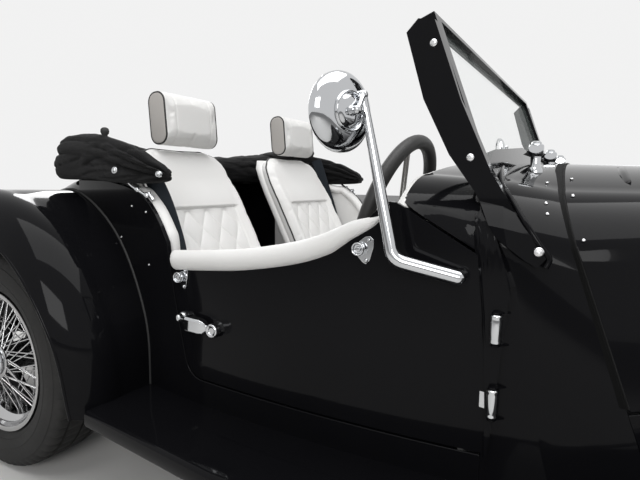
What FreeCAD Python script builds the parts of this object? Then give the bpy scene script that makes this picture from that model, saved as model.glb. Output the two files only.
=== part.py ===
import FreeCAD, Part
import math
import os
import re
from types import SimpleNamespace

import Sketcher
from FreeCAD import Placement, Rotation, Vector

# Open two-seat roadster of traditional layout: ladder chassis, sliding-pillar front axle, flowing wings,
# centre-hinged bonnet, wire wheels, fold-flat hood, right-hand drive.
# Millimetres. +X is the nose, +Y the left side, +Z up; the origin is on the ground under the middle.

# Driving dimensions: name, value, what it is
SIZES = (
    ("wheelbase", 2490, "rear axle to front axle"),
    ("rear_axle_x", -1125, "rear axle from the origin"),
    ("front_overhang", 640, "front axle to the front bumper's face"),
    ("rear_overhang", 880, "rear axle to the rear bumper's face"),
    ("tyre_radius", 315, "also the height of both axles"),
    ("tyre_width", 188, "across the sidewalls"),
    ("rim_radius", 207, "outer radius of the rim flange"),
    ("rim_width", 158, "across the rim flanges"),
    ("rim_gauge", 7, "thickness of the rim section"),
    ("hub_radius", 46, "hub shell of a wire wheel"),
    ("hub_reach", 112, "wheel centre to the spinner's outer face"),
    ("spoke_count", 36, "wires in a wheel"),
    ("spoke_radius", 2.8, "half a wire's thickness"),
    ("spindle_radius", 20, "stub that carries the hub"),
    ("bearing_gap", 0.1, "radial clearance at spindles and pillars"),
    ("rear_wheel_y", 690, "half the rear track"),
    ("front_wheel_y", 635, "half the front track"),
    ("kingpin_y", 530, "sliding pillar from the centre line"),
    ("pillar_radius", 14, "sliding pillar"),
    ("rail_y", 330, "chassis rail from the centre line"),
    ("rail_width", 50, "chassis rail"),
    ("rail_height", 85, "chassis rail"),
    ("floor_z", 235, "underside of the floor and of the tub"),
    ("floor_gauge", 12, "floor thickness"),
    ("tub_half_width", 650, "widest point of the tub"),
    ("tub_widest_x", -150, "where the tub is widest"),
    ("tub_side_radius", 3520, "plan curve of the tub's sides"),
    ("side_wall", 48, "tub side and door with trim"),
    ("tail_taper_x", -1100, "behind this the tail's sides run straight"),
    ("tail_joint_x", -1050, "joint between quarter panel and tail"),
    ("tail_length", 715, "rear axle to the tail's rearmost point"),
    ("tail_wall", 20, "tail shell"),
    ("tail_top_z", 836, "top of the tail"),
    ("seam_x", 275, "bonnet seam at its top"),
    ("seam_slant", 0.36, "how far the seam runs forward for each mm it drops"),
    ("cowl_top_z", 892, "scuttle and bonnet at the seam, centre line"),
    ("dash_x", 45, "rear edge of the scuttle's top"),
    ("scuttle_wall", 30, "scuttle shell"),
    ("radiator_set", 120, "front axle to the cowl's rear edge"),
    ("cowl_depth", 100, "radiator cowl, front to back"),
    ("cowl_rim", 28, "width of the cowl's rim around the grille"),
    ("nose_half_width", 290, "half width of the nose at the chassis"),
    ("nose_top_z", 850, "top of the radiator cowl"),
    ("bonnet_gauge", 6, "bonnet panel"),
    ("side_foot_z", 440, "below this the body's sides are upright"),
    ("bonnet_rear_edge_z", 470, "bonnet's lower edge at the seam"),
    ("bonnet_front_edge_z", 708, "bonnet's lower edge at the cowl"),
    ("panel_gap", 5, "gap round doors and bonnet"),
    ("fit_gap", 0.3, "clearance under seated pieces"),
    ("wing_gauge", 8, "wing panel with its beading"),
    ("wing_half_width", 860, "outer edge of the wings"),
    ("arch_radius", 420, "rear wheel opening"),
    ("board_top_z", 292, "top of the running boards"),
    ("board_gauge", 40, "running board thickness"),
    ("door_low_z", 358, "door's lower edge"),
    ("door_front_x", 212, "door's lower front corner"),
    ("door_rear_x", -571, "door's upper rear corner"),
    ("hinge_reach", 11, "door hinge axis outside the skin"),
    ("hinge_x", 224, "door hinge axis"),
    ("screen_foot_x", 161.5, "windscreen's plane at the cowl's height"),
    ("screen_top_z", 1146, "windscreen's top edge"),
    ("screen_lean", 20.8, "degrees back from upright"),
    ("screen_half_width", 603, "outside of the posts at the scuttle"),
    ("post_width", 34, "windscreen post across the car"),
    ("post_depth", 26, "windscreen frame along the car"),
    ("glass_gauge", 6, "windscreen glass"),
    ("steering_x", -89, "steering wheel centre"),
    ("steering_z", 760, "steering wheel centre"),
    ("steering_tilt", 18, "column's slope in degrees"),
    ("steering_radius", 187, "rim centre line of the steering wheel"),
    ("grip_radius", 17, "steering wheel grip"),
    ("seat_outer_y", 528, "outer edge of the cushions"),
    ("seat_width", 424, "cushion"),
    ("seat_front_x", -170, "front of the cushions"),
    ("seat_joint_x", -625, "cushion to back"),
    ("seat_top_z", 525, "top of the cushions"),
    ("back_top_z", 942, "top of the seat backs"),
    ("back_rake", 27.5, "degrees back from upright"),
    ("back_gauge", 80, "seat back thickness"),
    ("headrest_width", 226, "across the roll"),
    ("headrest_height", 163, "headrest"),
    ("headrest_depth", 80, "headrest"),
    ("headrest_x", -815, "headrest centre"),
    ("seat_clearance", 19, "tunnel and levers to the cushions"),
    ("headlamp_radius", 92, "headlamp rim"),
    ("headlamp_y", 405, "headlamp from the centre line"),
    ("headlamp_z", 700, "headlamp centre"),
    ("spare_lean", 38, "spare wheel's slope on the tail in degrees"),
    ("pipe_radius", 22, "exhaust pipe"),
    ("pipe_trim_radius", 26, "bright end of the tail pipe"),
    ("pipe_trim_length", 80, "bright end of the tail pipe"),
    ("spare_sink", 62, "depth of the spare wheel's well"),
)

doc = FreeCAD.newDocument("roadster")
sheet = doc.addObject("Spreadsheet::Sheet", "Sizes")
for row, (name, value, note) in enumerate(SIZES, start=1):
    sheet.set(f"A{row}", str(value))
    sheet.setAlias(f"A{row}", name)
    sheet.set(f"B{row}", "'" + note)
doc.recompute()
size = SimpleNamespace(**{name: float(sheet.get(name)) for name, _, _ in SIZES})
ALIASES = {name for name, _, _ in SIZES}
SUBPARTS = []

# Places that follow from the driving dimensions
front_axle_x = size.rear_axle_x + size.wheelbase
nose_x = front_axle_x + size.radiator_set
tail_end_x = size.rear_axle_x - size.tail_length
screen_x = size.screen_foot_x - (size.screen_top_z - size.cowl_top_z) * math.tan(math.radians(size.screen_lean))
seat_y = size.seat_outer_y - size.seat_width / 2
tunnel_half_width = seat_y - size.seat_width / 2 - size.seat_clearance
axle_z = size.tyre_radius
FRONT_AXLE = "(rear_axle_x + wheelbase)"
FRONT_FACE = "(rear_axle_x + wheelbase + front_overhang)"
REAR_FACE = "(rear_axle_x - rear_overhang)"
SEAT_Y = "(seat_outer_y - seat_width / 2)"
FLOOR_TOP = "(floor_z + floor_gauge)"


# Document helpers
def formula(text):
    """Sheet formula for an expression written with the plain names of the sizes."""
    return re.sub(r"[a-z_]\w*", lambda word: "Sizes." + word[0] if word[0] in ALIASES else word[0], str(text))


def bind(item, sizes):
    for path, text in sizes.items():
        item.setExpression(path, formula(text))
    return item


def place(item, x=0, y=0, z=0, axis=None, degrees=0):
    if axis:
        item.Placement = Placement(Vector(), Rotation(Vector(*axis), degrees))
    return bind(item, {"Placement.Base.x": x, "Placement.Base.y": y, "Placement.Base.z": z})


def primitive(kind, sizes, at=(0, 0, 0), axis=None, degrees=0):
    item = doc.addObject("Part::" + kind, kind.lower())
    bind(item, sizes)
    return place(item, *at, axis=axis, degrees=degrees)


def block(length, width, height, at):
    return primitive("Box", {"Length": length, "Width": width, "Height": height}, at)


def rod(radius, height, at, axis=None, degrees=0):
    return primitive("Cylinder", {"Radius": radius, "Height": height}, at, axis, degrees)


def node(label, item):
    """Name a finished sub-part; its file takes this name."""
    item.Label = label
    SUBPARTS.append(item)
    return item


def subpart(label):
    return [item for item in SUBPARTS if item.Label == label][0]


def fused(label, items):
    item = doc.addObject("Part::MultiFuse", "fuse")
    item.Shapes = items
    item.Refine = False
    return node(label, item) if label else item


def grouped(label, items):
    item = doc.addObject("Part::Compound", "pair")
    item.Links = items
    return node(label, item)


def cut(base, tool):
    item = doc.addObject("Part::Cut", "cut")
    item.Base = base
    item.Tool = tool
    return item


def common(base, tool):
    item = doc.addObject("Part::Common", "common")
    item.Base = base
    item.Tool = tool
    return item


def mirrored(item):
    other = doc.addObject("Part::Mirroring", "mirror")
    other.Source = item
    other.Normal = (0, 1, 0)
    return other


def shaped(shape, label=None):
    """Feature that holds a shape made with Part's own functions."""
    item = doc.addObject("Part::Feature", label or "shape")
    item.Shape = shape
    return node(label, item) if label else item


def outline_sketch(body, role, points):
    """Closed polygon on one of the body's origin planes, each corner bound to the sheet."""
    sketch = body.newObject("Sketcher::SketchObject", "outline")
    plane = [feature for feature in body.Origin.OriginFeatures if feature.Role == role][0]
    sketch.AttachmentSupport = [(plane, "")]
    sketch.MapMode = "FlatFace"
    count = len(points)
    for i in range(count):
        sketch.addGeometry(Part.LineSegment(Vector(i, i * i, 0), Vector(i + 1, (i + 1) ** 2, 0)), False)
    for i in range(count):
        sketch.addConstraint(Sketcher.Constraint("Coincident", i, 2, (i + 1) % count, 1))
    for i, corner in enumerate(points):
        for kind, text in zip(("DistanceX", "DistanceY"), corner):
            index = sketch.addConstraint(Sketcher.Constraint(kind, -1, 1, i, 1, float(i + 1)))
            sketch.renameConstraint(index, f"{kind}{i}")
            sketch.setExpression(f".Constraints.{kind}{i}", formula(text))
    return sketch


def padded(role, points, thickness):
    """Body padded evenly to both sides of an origin plane."""
    body = doc.addObject("PartDesign::Body", "body")
    pad = body.newObject("PartDesign::Pad", "pad")
    pad.Profile = outline_sketch(body, role, points)
    pad.SideType = "Symmetric"
    bind(pad, {"Length": thickness})
    return body


# Shape helpers for the body's curved panels
def prism_xz(points, low_y=-1000, high_y=1000):
    corners = [Vector(x, low_y, z) for x, z in points]
    return Part.Face(Part.makePolygon(corners + corners[:1])).extrude(Vector(0, high_y - low_y, 0))


def mirror_y(shape):
    return shape.mirror(Vector(), Vector(0, 1, 0))


def slab(low, high):
    return Part.makeBox(high[0] - low[0], high[1] - low[1], high[2] - low[2], Vector(*low))


def biggest(shape):
    return max(shape.Solids, key=lambda solid: solid.Volume)


def tub_y(x):
    """Half width of the body in plan."""
    front_x = seam_point_x(size.side_foot_z)
    if x > front_x:
        share = (x - front_x) / (nose_x - front_x)
        return tub_y(front_x) + share * (size.nose_half_width - tub_y(front_x))
    bend_x = max(x, size.tail_taper_x)
    run = bend_x - size.tub_widest_x
    radius = size.tub_side_radius
    y = size.tub_half_width - radius + math.sqrt(radius ** 2 - run ** 2)
    return y + (x - bend_x) * -run / math.sqrt(radius ** 2 - run ** 2)


def seam_point_x(z):
    return size.seam_x + size.seam_slant * (size.cowl_top_z - z)


def plan_prism(inset, low_z, high_z, front_x=None, rear_x=None):
    """Block with the body's plan shape, its sides moved in by inset."""
    seam_foot_x = seam_point_x(size.side_foot_z)
    front_x = nose_x + 600 if front_x is None else front_x
    rear_x = tail_end_x if rear_x is None else rear_x

    def side(x):
        return Vector(x, tub_y(min(x, nose_x)) - inset, low_z)

    arc_rear_x, arc_front_x = max(rear_x, size.tail_taper_x), min(front_x, seam_foot_x)
    bends = [rear_x, arc_rear_x, arc_front_x] + [x for x in (nose_x, front_x) if x <= front_x]
    edges = []
    for start, end in zip(bends, bends[1:]):
        if start == arc_rear_x and end == arc_front_x:
            edges.append(Part.Arc(side(start), side((start + end) / 2), side(end)).toShape())
        elif end > start:
            edges.append(Part.makeLine(side(start), side(end)))
    middle = [Vector(front_x, 0, low_z), Vector(rear_x, 0, low_z)]
    edges.append(Part.makeLine(side(front_x), middle[0]))
    edges.append(Part.makeLine(middle[0], middle[1]))
    edges.append(Part.makeLine(middle[1], side(rear_x)))
    half = Part.Face(Part.Wire(edges)).extrude(Vector(0, 0, high_z - low_z))
    return half.fuse(mirror_y(half)).removeSplitter()


def side_band(low_z, high_z, front_x, rear_x, thickness):
    """Both curved side walls of the tub as bands, left and right."""
    outer = plan_prism(0, low_z, high_z, front_x, rear_x)
    inner = plan_prism(thickness, low_z - 1, high_z + 1, front_x, rear_x)
    return outer.cut(inner)


# Cross sections of bonnet, scuttle and cowl
def section(**columns):
    """Station at x, leaning forward by slant: top, shoulder, corner and foot of its half outline."""
    return SimpleNamespace(**columns)


seam_section = section(
    x=size.seam_x, slant=size.seam_slant, top_z=size.cowl_top_z,
    shoulder_y=450, shoulder_z=size.cowl_top_z - 63, corner_y=592, corner_z=size.cowl_top_z - 157,
    foot_y=tub_y(seam_point_x(size.side_foot_z)), foot_z=size.side_foot_z,
)
mid_scuttle_section = section(
    x=size.seam_x - 75, slant=size.seam_slant * 0.6, top_z=size.cowl_top_z + 1,
    shoulder_y=466, shoulder_z=size.cowl_top_z - 46, corner_y=626, corner_z=size.cowl_top_z - 132,
    foot_y=tub_y(size.seam_x + 22), foot_z=size.side_foot_z,
)
dash_section = section(
    x=size.dash_x, slant=0, top_z=size.cowl_top_z + 1,
    shoulder_y=480, shoulder_z=size.cowl_top_z - 34, corner_y=641, corner_z=size.cowl_top_z - 100,
    foot_y=tub_y(size.dash_x), foot_z=size.side_foot_z,
)
nose_section = section(
    x=nose_x, slant=0.1, top_z=size.nose_top_z,
    shoulder_y=185, shoulder_z=size.nose_top_z - 28, corner_y=248, corner_z=size.nose_top_z - 92,
    foot_y=size.nose_half_width - 6, foot_z=size.side_foot_z,
)
face_section = section(
    x=nose_x + size.cowl_depth, slant=0.22, top_z=size.nose_top_z - 14,
    shoulder_y=160, shoulder_z=size.nose_top_z - 46, corner_y=224, corner_z=size.nose_top_z - 112,
    foot_y=size.nose_half_width - 30, foot_z=size.side_foot_z,
)


def side_y(station, z):
    """Half width of a station's side line at a height."""
    share = (station.corner_z - z) / (station.corner_z - station.foot_z)
    return station.corner_y + share * (station.foot_y - station.corner_y)


def section_points(station, low_z, inset=0):
    """Half outline of a station from the centre line down to low_z: top, shoulder, corner, foot."""
    mid_y = station.shoulder_y / 2
    mid_z = station.top_z - 0.22 * (station.top_z - station.shoulder_z)
    bend_y = station.shoulder_y + 0.62 * (station.corner_y - station.shoulder_y)
    bend_z = station.shoulder_z - 0.36 * (station.shoulder_z - station.corner_z)
    return {
        "top": (0, station.top_z - inset),
        "crown": (mid_y - inset * 0.1, mid_z - inset),
        "shoulder": (station.shoulder_y - inset * 0.35, station.shoulder_z - inset * 0.92),
        "bend": (bend_y - inset * 0.7, bend_z - inset * 0.75),
        "corner": (station.corner_y - inset * 0.99, station.corner_z - inset * 0.3),
        "foot": (side_y(station, low_z) - inset, low_z),
    }


def at_station(station, y, z):
    return Vector(station.x + station.slant * (station.top_z - z), y, z)


def arch_wire(station, low_z, inset=0):
    """Closed full-width outline of a station, flat along the bottom."""
    half = section_points(station, low_z, inset)
    left = {name: at_station(station, y, z) for name, (y, z) in half.items()}
    right = {name: at_station(station, -y, z) for name, (y, z) in half.items()}
    return Part.Wire([
        Part.makeLine(left["foot"], left["corner"]),
        Part.Arc(left["corner"], left["bend"], left["shoulder"]).toShape(),
        Part.Arc(left["shoulder"], left["crown"], left["top"]).toShape(),
        Part.Arc(right["top"], right["crown"], right["shoulder"]).toShape(),
        Part.Arc(right["shoulder"], right["bend"], right["corner"]).toShape(),
        Part.makeLine(right["corner"], right["foot"]),
        Part.makeLine(right["foot"], left["foot"]),
    ])


def arch_block(stations, low_z, inset=0):
    return Part.makeLoft([arch_wire(station, low_z, inset) for station in stations], True, True)


def moved(station, **changes):
    return SimpleNamespace(**{**vars(station), **changes})


# Door outline seen from the side: x, z. It starts at the lower front corner and runs up the shut line,
# back up the ramp to the peak, down along the elbow and forward again along the bottom.
door_rear_x = size.door_rear_x
door_outline = (
    (size.door_front_x, size.door_low_z),
    (size.door_front_x + 25, 664),
    (size.door_front_x + 12, 690),
    (size.door_front_x - 17, 710),
    (size.door_front_x - 68, 740),
    (33, 803),
    (8, 800),
    (-60, 762),
    (-160, 722),
    (-304, 692),
    (door_rear_x, 664),
    (door_rear_x + 29, 529),
    (door_rear_x + 62, 400),
    (door_rear_x + 78, 370),
    (door_rear_x + 112, size.door_low_z),
)


def door_prism(gap):
    corners = [Vector(x, -1000, z) for x, z in door_outline]
    wire = Part.makePolygon(corners + corners[:1])
    if gap:
        wire = wire.makeOffset2D(gap)
    return Part.Face(wire).extrude(Vector(0, 2000, 0))


# Chassis, axles and springs
def build_chassis():
    rail_length = "wheelbase + 890"
    low_z = "floor_z - rail_height"
    parts = []
    for side in (1, -1):
        parts.append(block(rail_length, "rail_width", "rail_height",
                           ("rear_axle_x - 560", f"{side} * rail_y - rail_width / 2", low_z)))
    outriggers = ("door_rear_x + 40", "door_front_x + 30")
    members = ("rear_axle_x - 530", "rear_axle_x + 330", FRONT_AXLE + " - 300", FRONT_AXLE + " + 250") + outriggers
    for x in members:
        parts.append(block(60, "2 * rail_y", "rail_height - 20", (x, "-rail_y", "floor_z - rail_height + 20")))
    for x in outriggers:
        parts.append(block(60, "2 * (tub_half_width - 70)", 30, (x, "-(tub_half_width - 70)", "floor_z - 30")))
    return fused("chassis_frame", parts)


def build_front_cross_frame():
    """Two cross tubes that hold the sliding pillars, with posts down to the chassis rails."""
    tube = 22
    low = f"(floor_z + {tube})"
    high = "(floor_z + 212)"
    span = "2 * kingpin_y"
    parts = [rod(tube, span, (FRONT_AXLE, "kingpin_y", z), (1, 0, 0), 90) for z in (low, high)]
    for side in (1, -1):
        parts.append(rod("pillar_radius", 212 - tube, (FRONT_AXLE, f"{side} * kingpin_y", low)))
        parts.append(block(44, 36, 212, (FRONT_AXLE + " - 22", f"{side} * rail_y - 18", "floor_z")))
        for z in (low, high):
            parts.append(rod(30, 44, (FRONT_AXLE, f"{side} * kingpin_y", f"{z} - 22")))
    return fused("front_cross_frame", parts)


def build_rear_axle():
    reach = "(rear_wheel_y - 92)"
    parts = [
        rod(38, f"2 * {reach}", ("rear_axle_x", reach, "tyre_radius"), (1, 0, 0), 90),
        rod(88, 150, ("rear_axle_x", 75, "tyre_radius"), (1, 0, 0), 90),
        rod(54, 150, ("rear_axle_x", 0, "tyre_radius"), (0, 1, 0), 90),
    ]
    for side in (1, -1):
        drum_y = f"{side} * (rear_wheel_y - 110) + 20"
        parts.append(rod(118, 40, ("rear_axle_x", drum_y, "tyre_radius"), (1, 0, 0), 90))
        parts.append(rod("spindle_radius", 150,
                         ("rear_axle_x", f"{side} * (rear_wheel_y - 40) + 75", "tyre_radius"), (1, 0, 0), 90))
    return fused("rear_axle", parts)


def build_leaf_springs():
    """Leaf springs under the axle, hung from the chassis rails at both ends."""
    spring_y = "(rail_y + rail_width / 2 + 27)"
    seat_z = "tyre_radius - 38"
    front, rear = "(rear_axle_x + 285)", "(rear_axle_x - 300)"
    points = (
        (rear, "floor_z + 28"), ("rear_axle_x - 160", seat_z + " - 4"), ("rear_axle_x + 120", seat_z + " - 4"),
        (front, "floor_z + 28"), (front, "floor_z + 10"), ("rear_axle_x + 120", seat_z + " - 36"),
        ("rear_axle_x - 160", seat_z + " - 36"), (rear, "floor_z + 10"),
    )
    leaf = place(padded("XZ_Plane", points, 50), 0, spring_y)
    saddle = block(110, 50, 30, ("rear_axle_x - 55", f"{spring_y} - 25", f"{seat_z} - 20"))
    parts = [leaf, saddle]
    for x in (rear, f"{front} - 30"):
        parts.append(block(30, "rail_width / 2 + 52", 42, (x, "rail_y", "floor_z")))
    axle_room = rod(38, 400, ("rear_axle_x", f"{spring_y} + 200", "tyre_radius"), (1, 0, 0), 90)
    spring = cut(fused(None, parts), axle_room)
    return grouped("leaf_springs", [spring, mirrored(spring)])


def build_engine():
    """Plain block at the engine's size and place, with its feet on the chassis rails."""
    parts = [
        block(560, 260, 440, (FRONT_AXLE + " - 880", -130, "floor_z + 10")),
        block(140, 190, 190, (FRONT_AXLE + " - 1000", -95, "floor_z + 30")),
        block(60, "2 * rail_y", 30, (FRONT_AXLE + " - 640", "-rail_y", "floor_z")),
        block(470, 200, 120, (FRONT_AXLE + " - 830", 0, "floor_z + 300")),
        block(420, 150, 26, (FRONT_AXLE + " - 800", -75, "floor_z + 450")),
    ]
    return fused("engine", parts)


def build_exhaust():
    """Down pipe from the manifold, silencer outside the left rail and a tail pipe past the rear axle."""
    pipe = "pipe_radius"
    pipe_y = "(rail_y + rail_width / 2 + 130)"
    pipe_z = "(floor_z - 66)"
    start = FRONT_AXLE + " - 690"
    hanger_x = "rear_axle_x - 500"
    parts = [
        rod(62, 500, ("door_rear_x + 150", pipe_y, pipe_z), (0, 1, 0), 90),
        rod(pipe, f"{start} - ({REAR_FACE}) - 60", (f"{REAR_FACE} + 60", pipe_y, pipe_z), (0, 1, 0), 90),
        rod("pipe_trim_radius", "pipe_trim_length", (f"{REAR_FACE} + 60", pipe_y, pipe_z), (0, 1, 0), 90),
        primitive("Sphere", {"Radius": pipe}, (start, pipe_y, pipe_z)),
        block(40, f"{pipe_y} - rail_y - rail_width / 2", 20,
              (hanger_x, "rail_y + rail_width / 2", "floor_z - rail_height")),
        rod(pipe, 520, (start, pipe_y, pipe_z), (1, 0, 0), 40),
    ]
    return node("exhaust", cut(fused(None, parts), subpart("engine")))


def build_fuel_tank():
    points = (
        ("rear_axle_x - 300", "floor_z"), ("rear_axle_x - 300", "floor_z + 190"),
        ("rear_axle_x - 470", "floor_z + 190"),
        ("rear_axle_x - 560", "floor_z + 90"), ("rear_axle_x - 560", "floor_z"),
    )
    return node("fuel_tank", padded("XZ_Plane", points, "2 * (rail_y - 60)"))


# Tub, scuttle and tail
def build_floor():
    """Floor, heelboard and luggage shelf in one bent sheet with the transmission tunnel on it."""
    gauge = size.floor_gauge
    shelf_z, shelf_end_x = 470, size.rear_axle_x - 330
    heel_x = size.seat_joint_x - size.back_gauge - 22
    front_x = size.seam_x + 70
    sheet_outline = (
        (front_x, size.floor_z), (front_x, size.floor_z + gauge), (heel_x + gauge, size.floor_z + gauge),
        (heel_x + gauge, shelf_z + gauge), (shelf_end_x, shelf_z + gauge), (shelf_end_x, shelf_z),
        (heel_x, shelf_z), (heel_x, size.floor_z),
    )
    tub_inside = plan_prism(size.side_wall, 0, 1200, front_x + 1)
    tail_inside = plan_prism(size.tail_wall, 0, 1200, front_x + 1)
    at_tail = slab((tail_end_x, -1000, 0), (size.tail_joint_x, 1000, 1200))
    room = tub_inside.cut(at_tail).fuse(tail_inside.common(at_tail))
    tunnel = slab((heel_x + gauge, -tunnel_half_width, size.floor_z + gauge),
                  (front_x - 240, tunnel_half_width, size.floor_z + 190))
    gearbox_cover = slab((front_x - 240, -150, size.floor_z + gauge), (front_x, 150, size.floor_z + 300))
    return shaped(prism_xz(sheet_outline).common(room).fuse(tunnel).fuse(gearbox_cover), "floor_and_tunnel")


def scuttle_block(inset=0):
    return arch_block((seam_section, mid_scuttle_section, dash_section), size.floor_z, inset)


def build_scuttle():
    """Arched shell ahead of the doors with the bulkhead across it."""
    wall = size.scuttle_wall
    behind = moved(dash_section, x=size.dash_x - 1)
    ahead = moved(seam_section, x=size.seam_x + 1)
    hollow = arch_block((ahead, mid_scuttle_section, behind), size.floor_z - 1, wall)
    shell = scuttle_block().cut(hollow)
    bulkhead_x = size.seam_x + 70 + size.fit_gap
    bulkhead = slab((bulkhead_x, -1000, size.floor_z), (bulkhead_x + 12, 1000, 1000))
    bulkhead = bulkhead.common(scuttle_block(wall - 0.5))
    low_rear = slab((-1000, -1000, 0), (size.door_front_x - 6, 1000, size.door_low_z + 60))
    body = plan_prism(0, 0, 1200, size.seam_x + 400, 0)
    return shaped(shell.fuse(bulkhead).common(body).cut(door_prism(size.panel_gap)).cut(low_rear), "scuttle")


def build_body_sides():
    """Sill under the door and quarter panel behind it."""
    rear_x = size.tail_joint_x
    outline = (
        (size.door_front_x - 6 - size.fit_gap, size.floor_z), (size.door_front_x - 6 - size.fit_gap, 400),
        (-400, 400), (door_rear_x - 9, 690), (-628, 757), (-690, 806), (-860, size.tail_top_z - 1),
        (rear_x, size.tail_top_z), (rear_x, size.floor_z),
    )
    band = side_band(size.floor_z, 1000, size.door_front_x, rear_x - 1, size.side_wall)
    sides = band.common(prism_xz(outline)).cut(door_prism(size.panel_gap))
    for solid in sides.Solids:
        if solid.Volume > 1e5:
            side = "left" if solid.CenterOfMass.y > 0 else "right"
            shaped(solid, "body_side_" + side)


def tail_outline(inset):
    """Side view of the tail: flat top, sloping curved back."""
    top = size.tail_top_z - inset
    end = tail_end_x + inset
    joint = size.tail_joint_x
    points = [
        Vector(joint, 0, top), Vector(joint - 110, 0, top - 4), Vector(joint - 290, 0, top - 46),
        Vector(joint - 490, 0, top - 146), Vector(end + 100, 0, top - 300), Vector(end + 10, 0, top - 440),
        Vector(end, 0, top - 500), Vector(end, 0, size.floor_z + inset), Vector(joint, 0, size.floor_z + inset),
    ]
    return points


def spare_place(out=0):
    """Centre of the spare wheel and its outward axis, on the tail's slope."""
    lean = math.radians(size.spare_lean)
    axis = Vector(-math.sin(lean), 0, math.cos(lean))
    return Vector(tail_end_x + 228, 0, size.tail_top_z - 208) + axis * out, axis


def spare_cylinder(radius, back, front):
    centre, axis = spare_place(back)
    return Part.makeCylinder(radius, front - back, centre, axis)


def build_tail():
    """Sloping tail shell, open below, with a well for the spare wheel and slots for the axle."""
    reach = Vector(0, 2000, 0)
    wall = size.tail_wall
    solids = []
    for inset in (0, wall):
        points = [point - Vector(0, 1000, 0) for point in tail_outline(inset)]
        if inset:
            points[0].x += 1
            points[-1].x += 1
            points[-1].z = points[-2].z = size.floor_z - 1
        profile = Part.Face(Part.makePolygon(points + points[:1])).extrude(reach)
        well = spare_cylinder(size.tyre_radius + 8 + inset, -size.spare_sink - inset, 600)
        solids.append(profile.common(plan_prism(inset, 0, 1200, 0)).cut(well))
    axle_slot = slab((size.rear_axle_x - 65, -1000, 0), (size.rear_axle_x + 65, 1000, axle_z + 105))
    return shaped(solids[0].cut(solids[1]).cut(axle_slot), "tail")


def build_spare_wheel():
    """Spare wheel standing in the tail's well, one piece with its tyre."""
    low = -size.spare_sink + size.fit_gap
    tyre = spare_cylinder(size.tyre_radius, low, low + size.tyre_width - 24)
    edges = [edge for edge in tyre.Edges if edge.Closed]
    tyre = tyre.makeFillet(30, edges)
    dish = spare_cylinder(size.rim_radius - 14, low + size.tyre_width - 60, 600)
    hub = spare_cylinder(size.hub_radius, low + 10, low + size.tyre_width - 34)
    return shaped(tyre.cut(dish).fuse(hub), "spare_wheel")


def build_dashboard():
    """Padded panel across the scuttle, trimmed to the scuttle's inner face."""
    reach = size.tub_half_width - size.side_wall - 14
    panel = slab((size.dash_x + 12, -reach, 660), (size.dash_x + 36, reach, 1000))
    lip = slab((size.dash_x + 12, -reach, 640), (size.dash_x + 60, reach, 662))
    return shaped(panel.fuse(lip).common(scuttle_block(size.scuttle_wall)), "dashboard")


# Nose: bonnet, valances, cowl, grille and apron
def bonnet_wire(station, edge_z):
    """Closed outline of one bonnet half's sheet at a station."""
    gauge = size.bonnet_gauge
    outer = section_points(station, edge_z)
    inner = section_points(station, edge_z, gauge)
    half_gap = size.panel_gap / 2
    outer["top"] = (half_gap, station.top_z)
    inner["top"] = (half_gap, station.top_z - gauge)
    out = {name: at_station(station, y, z) for name, (y, z) in outer.items()}
    ins = {name: at_station(station, y, z) for name, (y, z) in inner.items()}
    return Part.Wire([
        Part.Arc(out["top"], out["crown"], out["shoulder"]).toShape(),
        Part.Arc(out["shoulder"], out["bend"], out["corner"]).toShape(),
        Part.makeLine(out["corner"], out["foot"]),
        Part.makeLine(out["foot"], ins["foot"]),
        Part.makeLine(ins["foot"], ins["corner"]),
        Part.Arc(ins["corner"], ins["bend"], ins["shoulder"]).toShape(),
        Part.Arc(ins["shoulder"], ins["crown"], ins["top"]).toShape(),
        Part.makeLine(ins["top"], out["top"]),
    ])


def build_bonnet():
    rear = moved(seam_section, x=seam_section.x + size.panel_gap)
    front = moved(nose_section, x=nose_section.x - size.panel_gap)
    edges = (size.bonnet_rear_edge_z + size.panel_gap, size.bonnet_front_edge_z + size.panel_gap)
    wires = [bonnet_wire(station, z) for station, z in zip((rear, front), edges)]
    half = Part.makeLoft(wires, True, True)
    shaped(half, "bonnet_left")
    shaped(mirror_y(half), "bonnet_right")
    rear_end, front_end = Vector(rear.x, 0, rear.top_z), Vector(front.x, 0, front.top_z)
    run = front_end - rear_end
    past = size.panel_gap - 4 * size.fit_gap
    start = rear_end - run * (past / run.x)
    pin = Part.makeCylinder(size.panel_gap / 2 - size.fit_gap, run.Length + 2 * past, start, run)
    shaped(pin, "bonnet_hinge")


def build_valances():
    """Fixed side sheets under the bonnet's edges, from the scuttle to the radiator cowl."""
    gauge = 10
    seam_low_x = seam_point_x(size.floor_z) + size.fit_gap
    seam_high_x = seam_point_x(size.bonnet_rear_edge_z) + size.fit_gap
    front_high_x, front_low_x = (
        nose_x + nose_section.slant * (nose_section.top_z - z) - size.fit_gap
        for z in (size.bonnet_front_edge_z, size.floor_z))
    outline = (
        (seam_low_x, size.floor_z), (seam_high_x, size.bonnet_rear_edge_z),
        (front_high_x, size.bonnet_front_edge_z), (front_low_x, size.floor_z),
    )
    beyond = moved(nose_section, x=nose_section.x + 90)
    outer, inner = (
        arch_block((seam_section, nose_section, beyond), size.floor_z - inset, inset).common(
            plan_prism(inset, 0, 1000, front_low_x + 5, 0)) for inset in (0, gauge))
    sheets = outer.cut(inner).common(prism_xz(outline))
    frame_room = slab((front_axle_x - 34, -1000, 0), (front_axle_x + 34, 1000, size.floor_z + 246))
    return shaped(sheets.cut(frame_room), "engine_valances")


def cowl_hollow(low_z):
    ahead = moved(face_section, x=face_section.x + 30)
    behind = moved(nose_section, x=nose_section.x - 30)
    return arch_block((behind, nose_section, face_section, ahead), low_z, size.cowl_rim)


def build_radiator_cowl():
    low_z = size.side_foot_z
    ring = arch_block((nose_section, face_section), low_z).cut(cowl_hollow(low_z + size.cowl_rim))
    return shaped(ring, "radiator_cowl")


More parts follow.
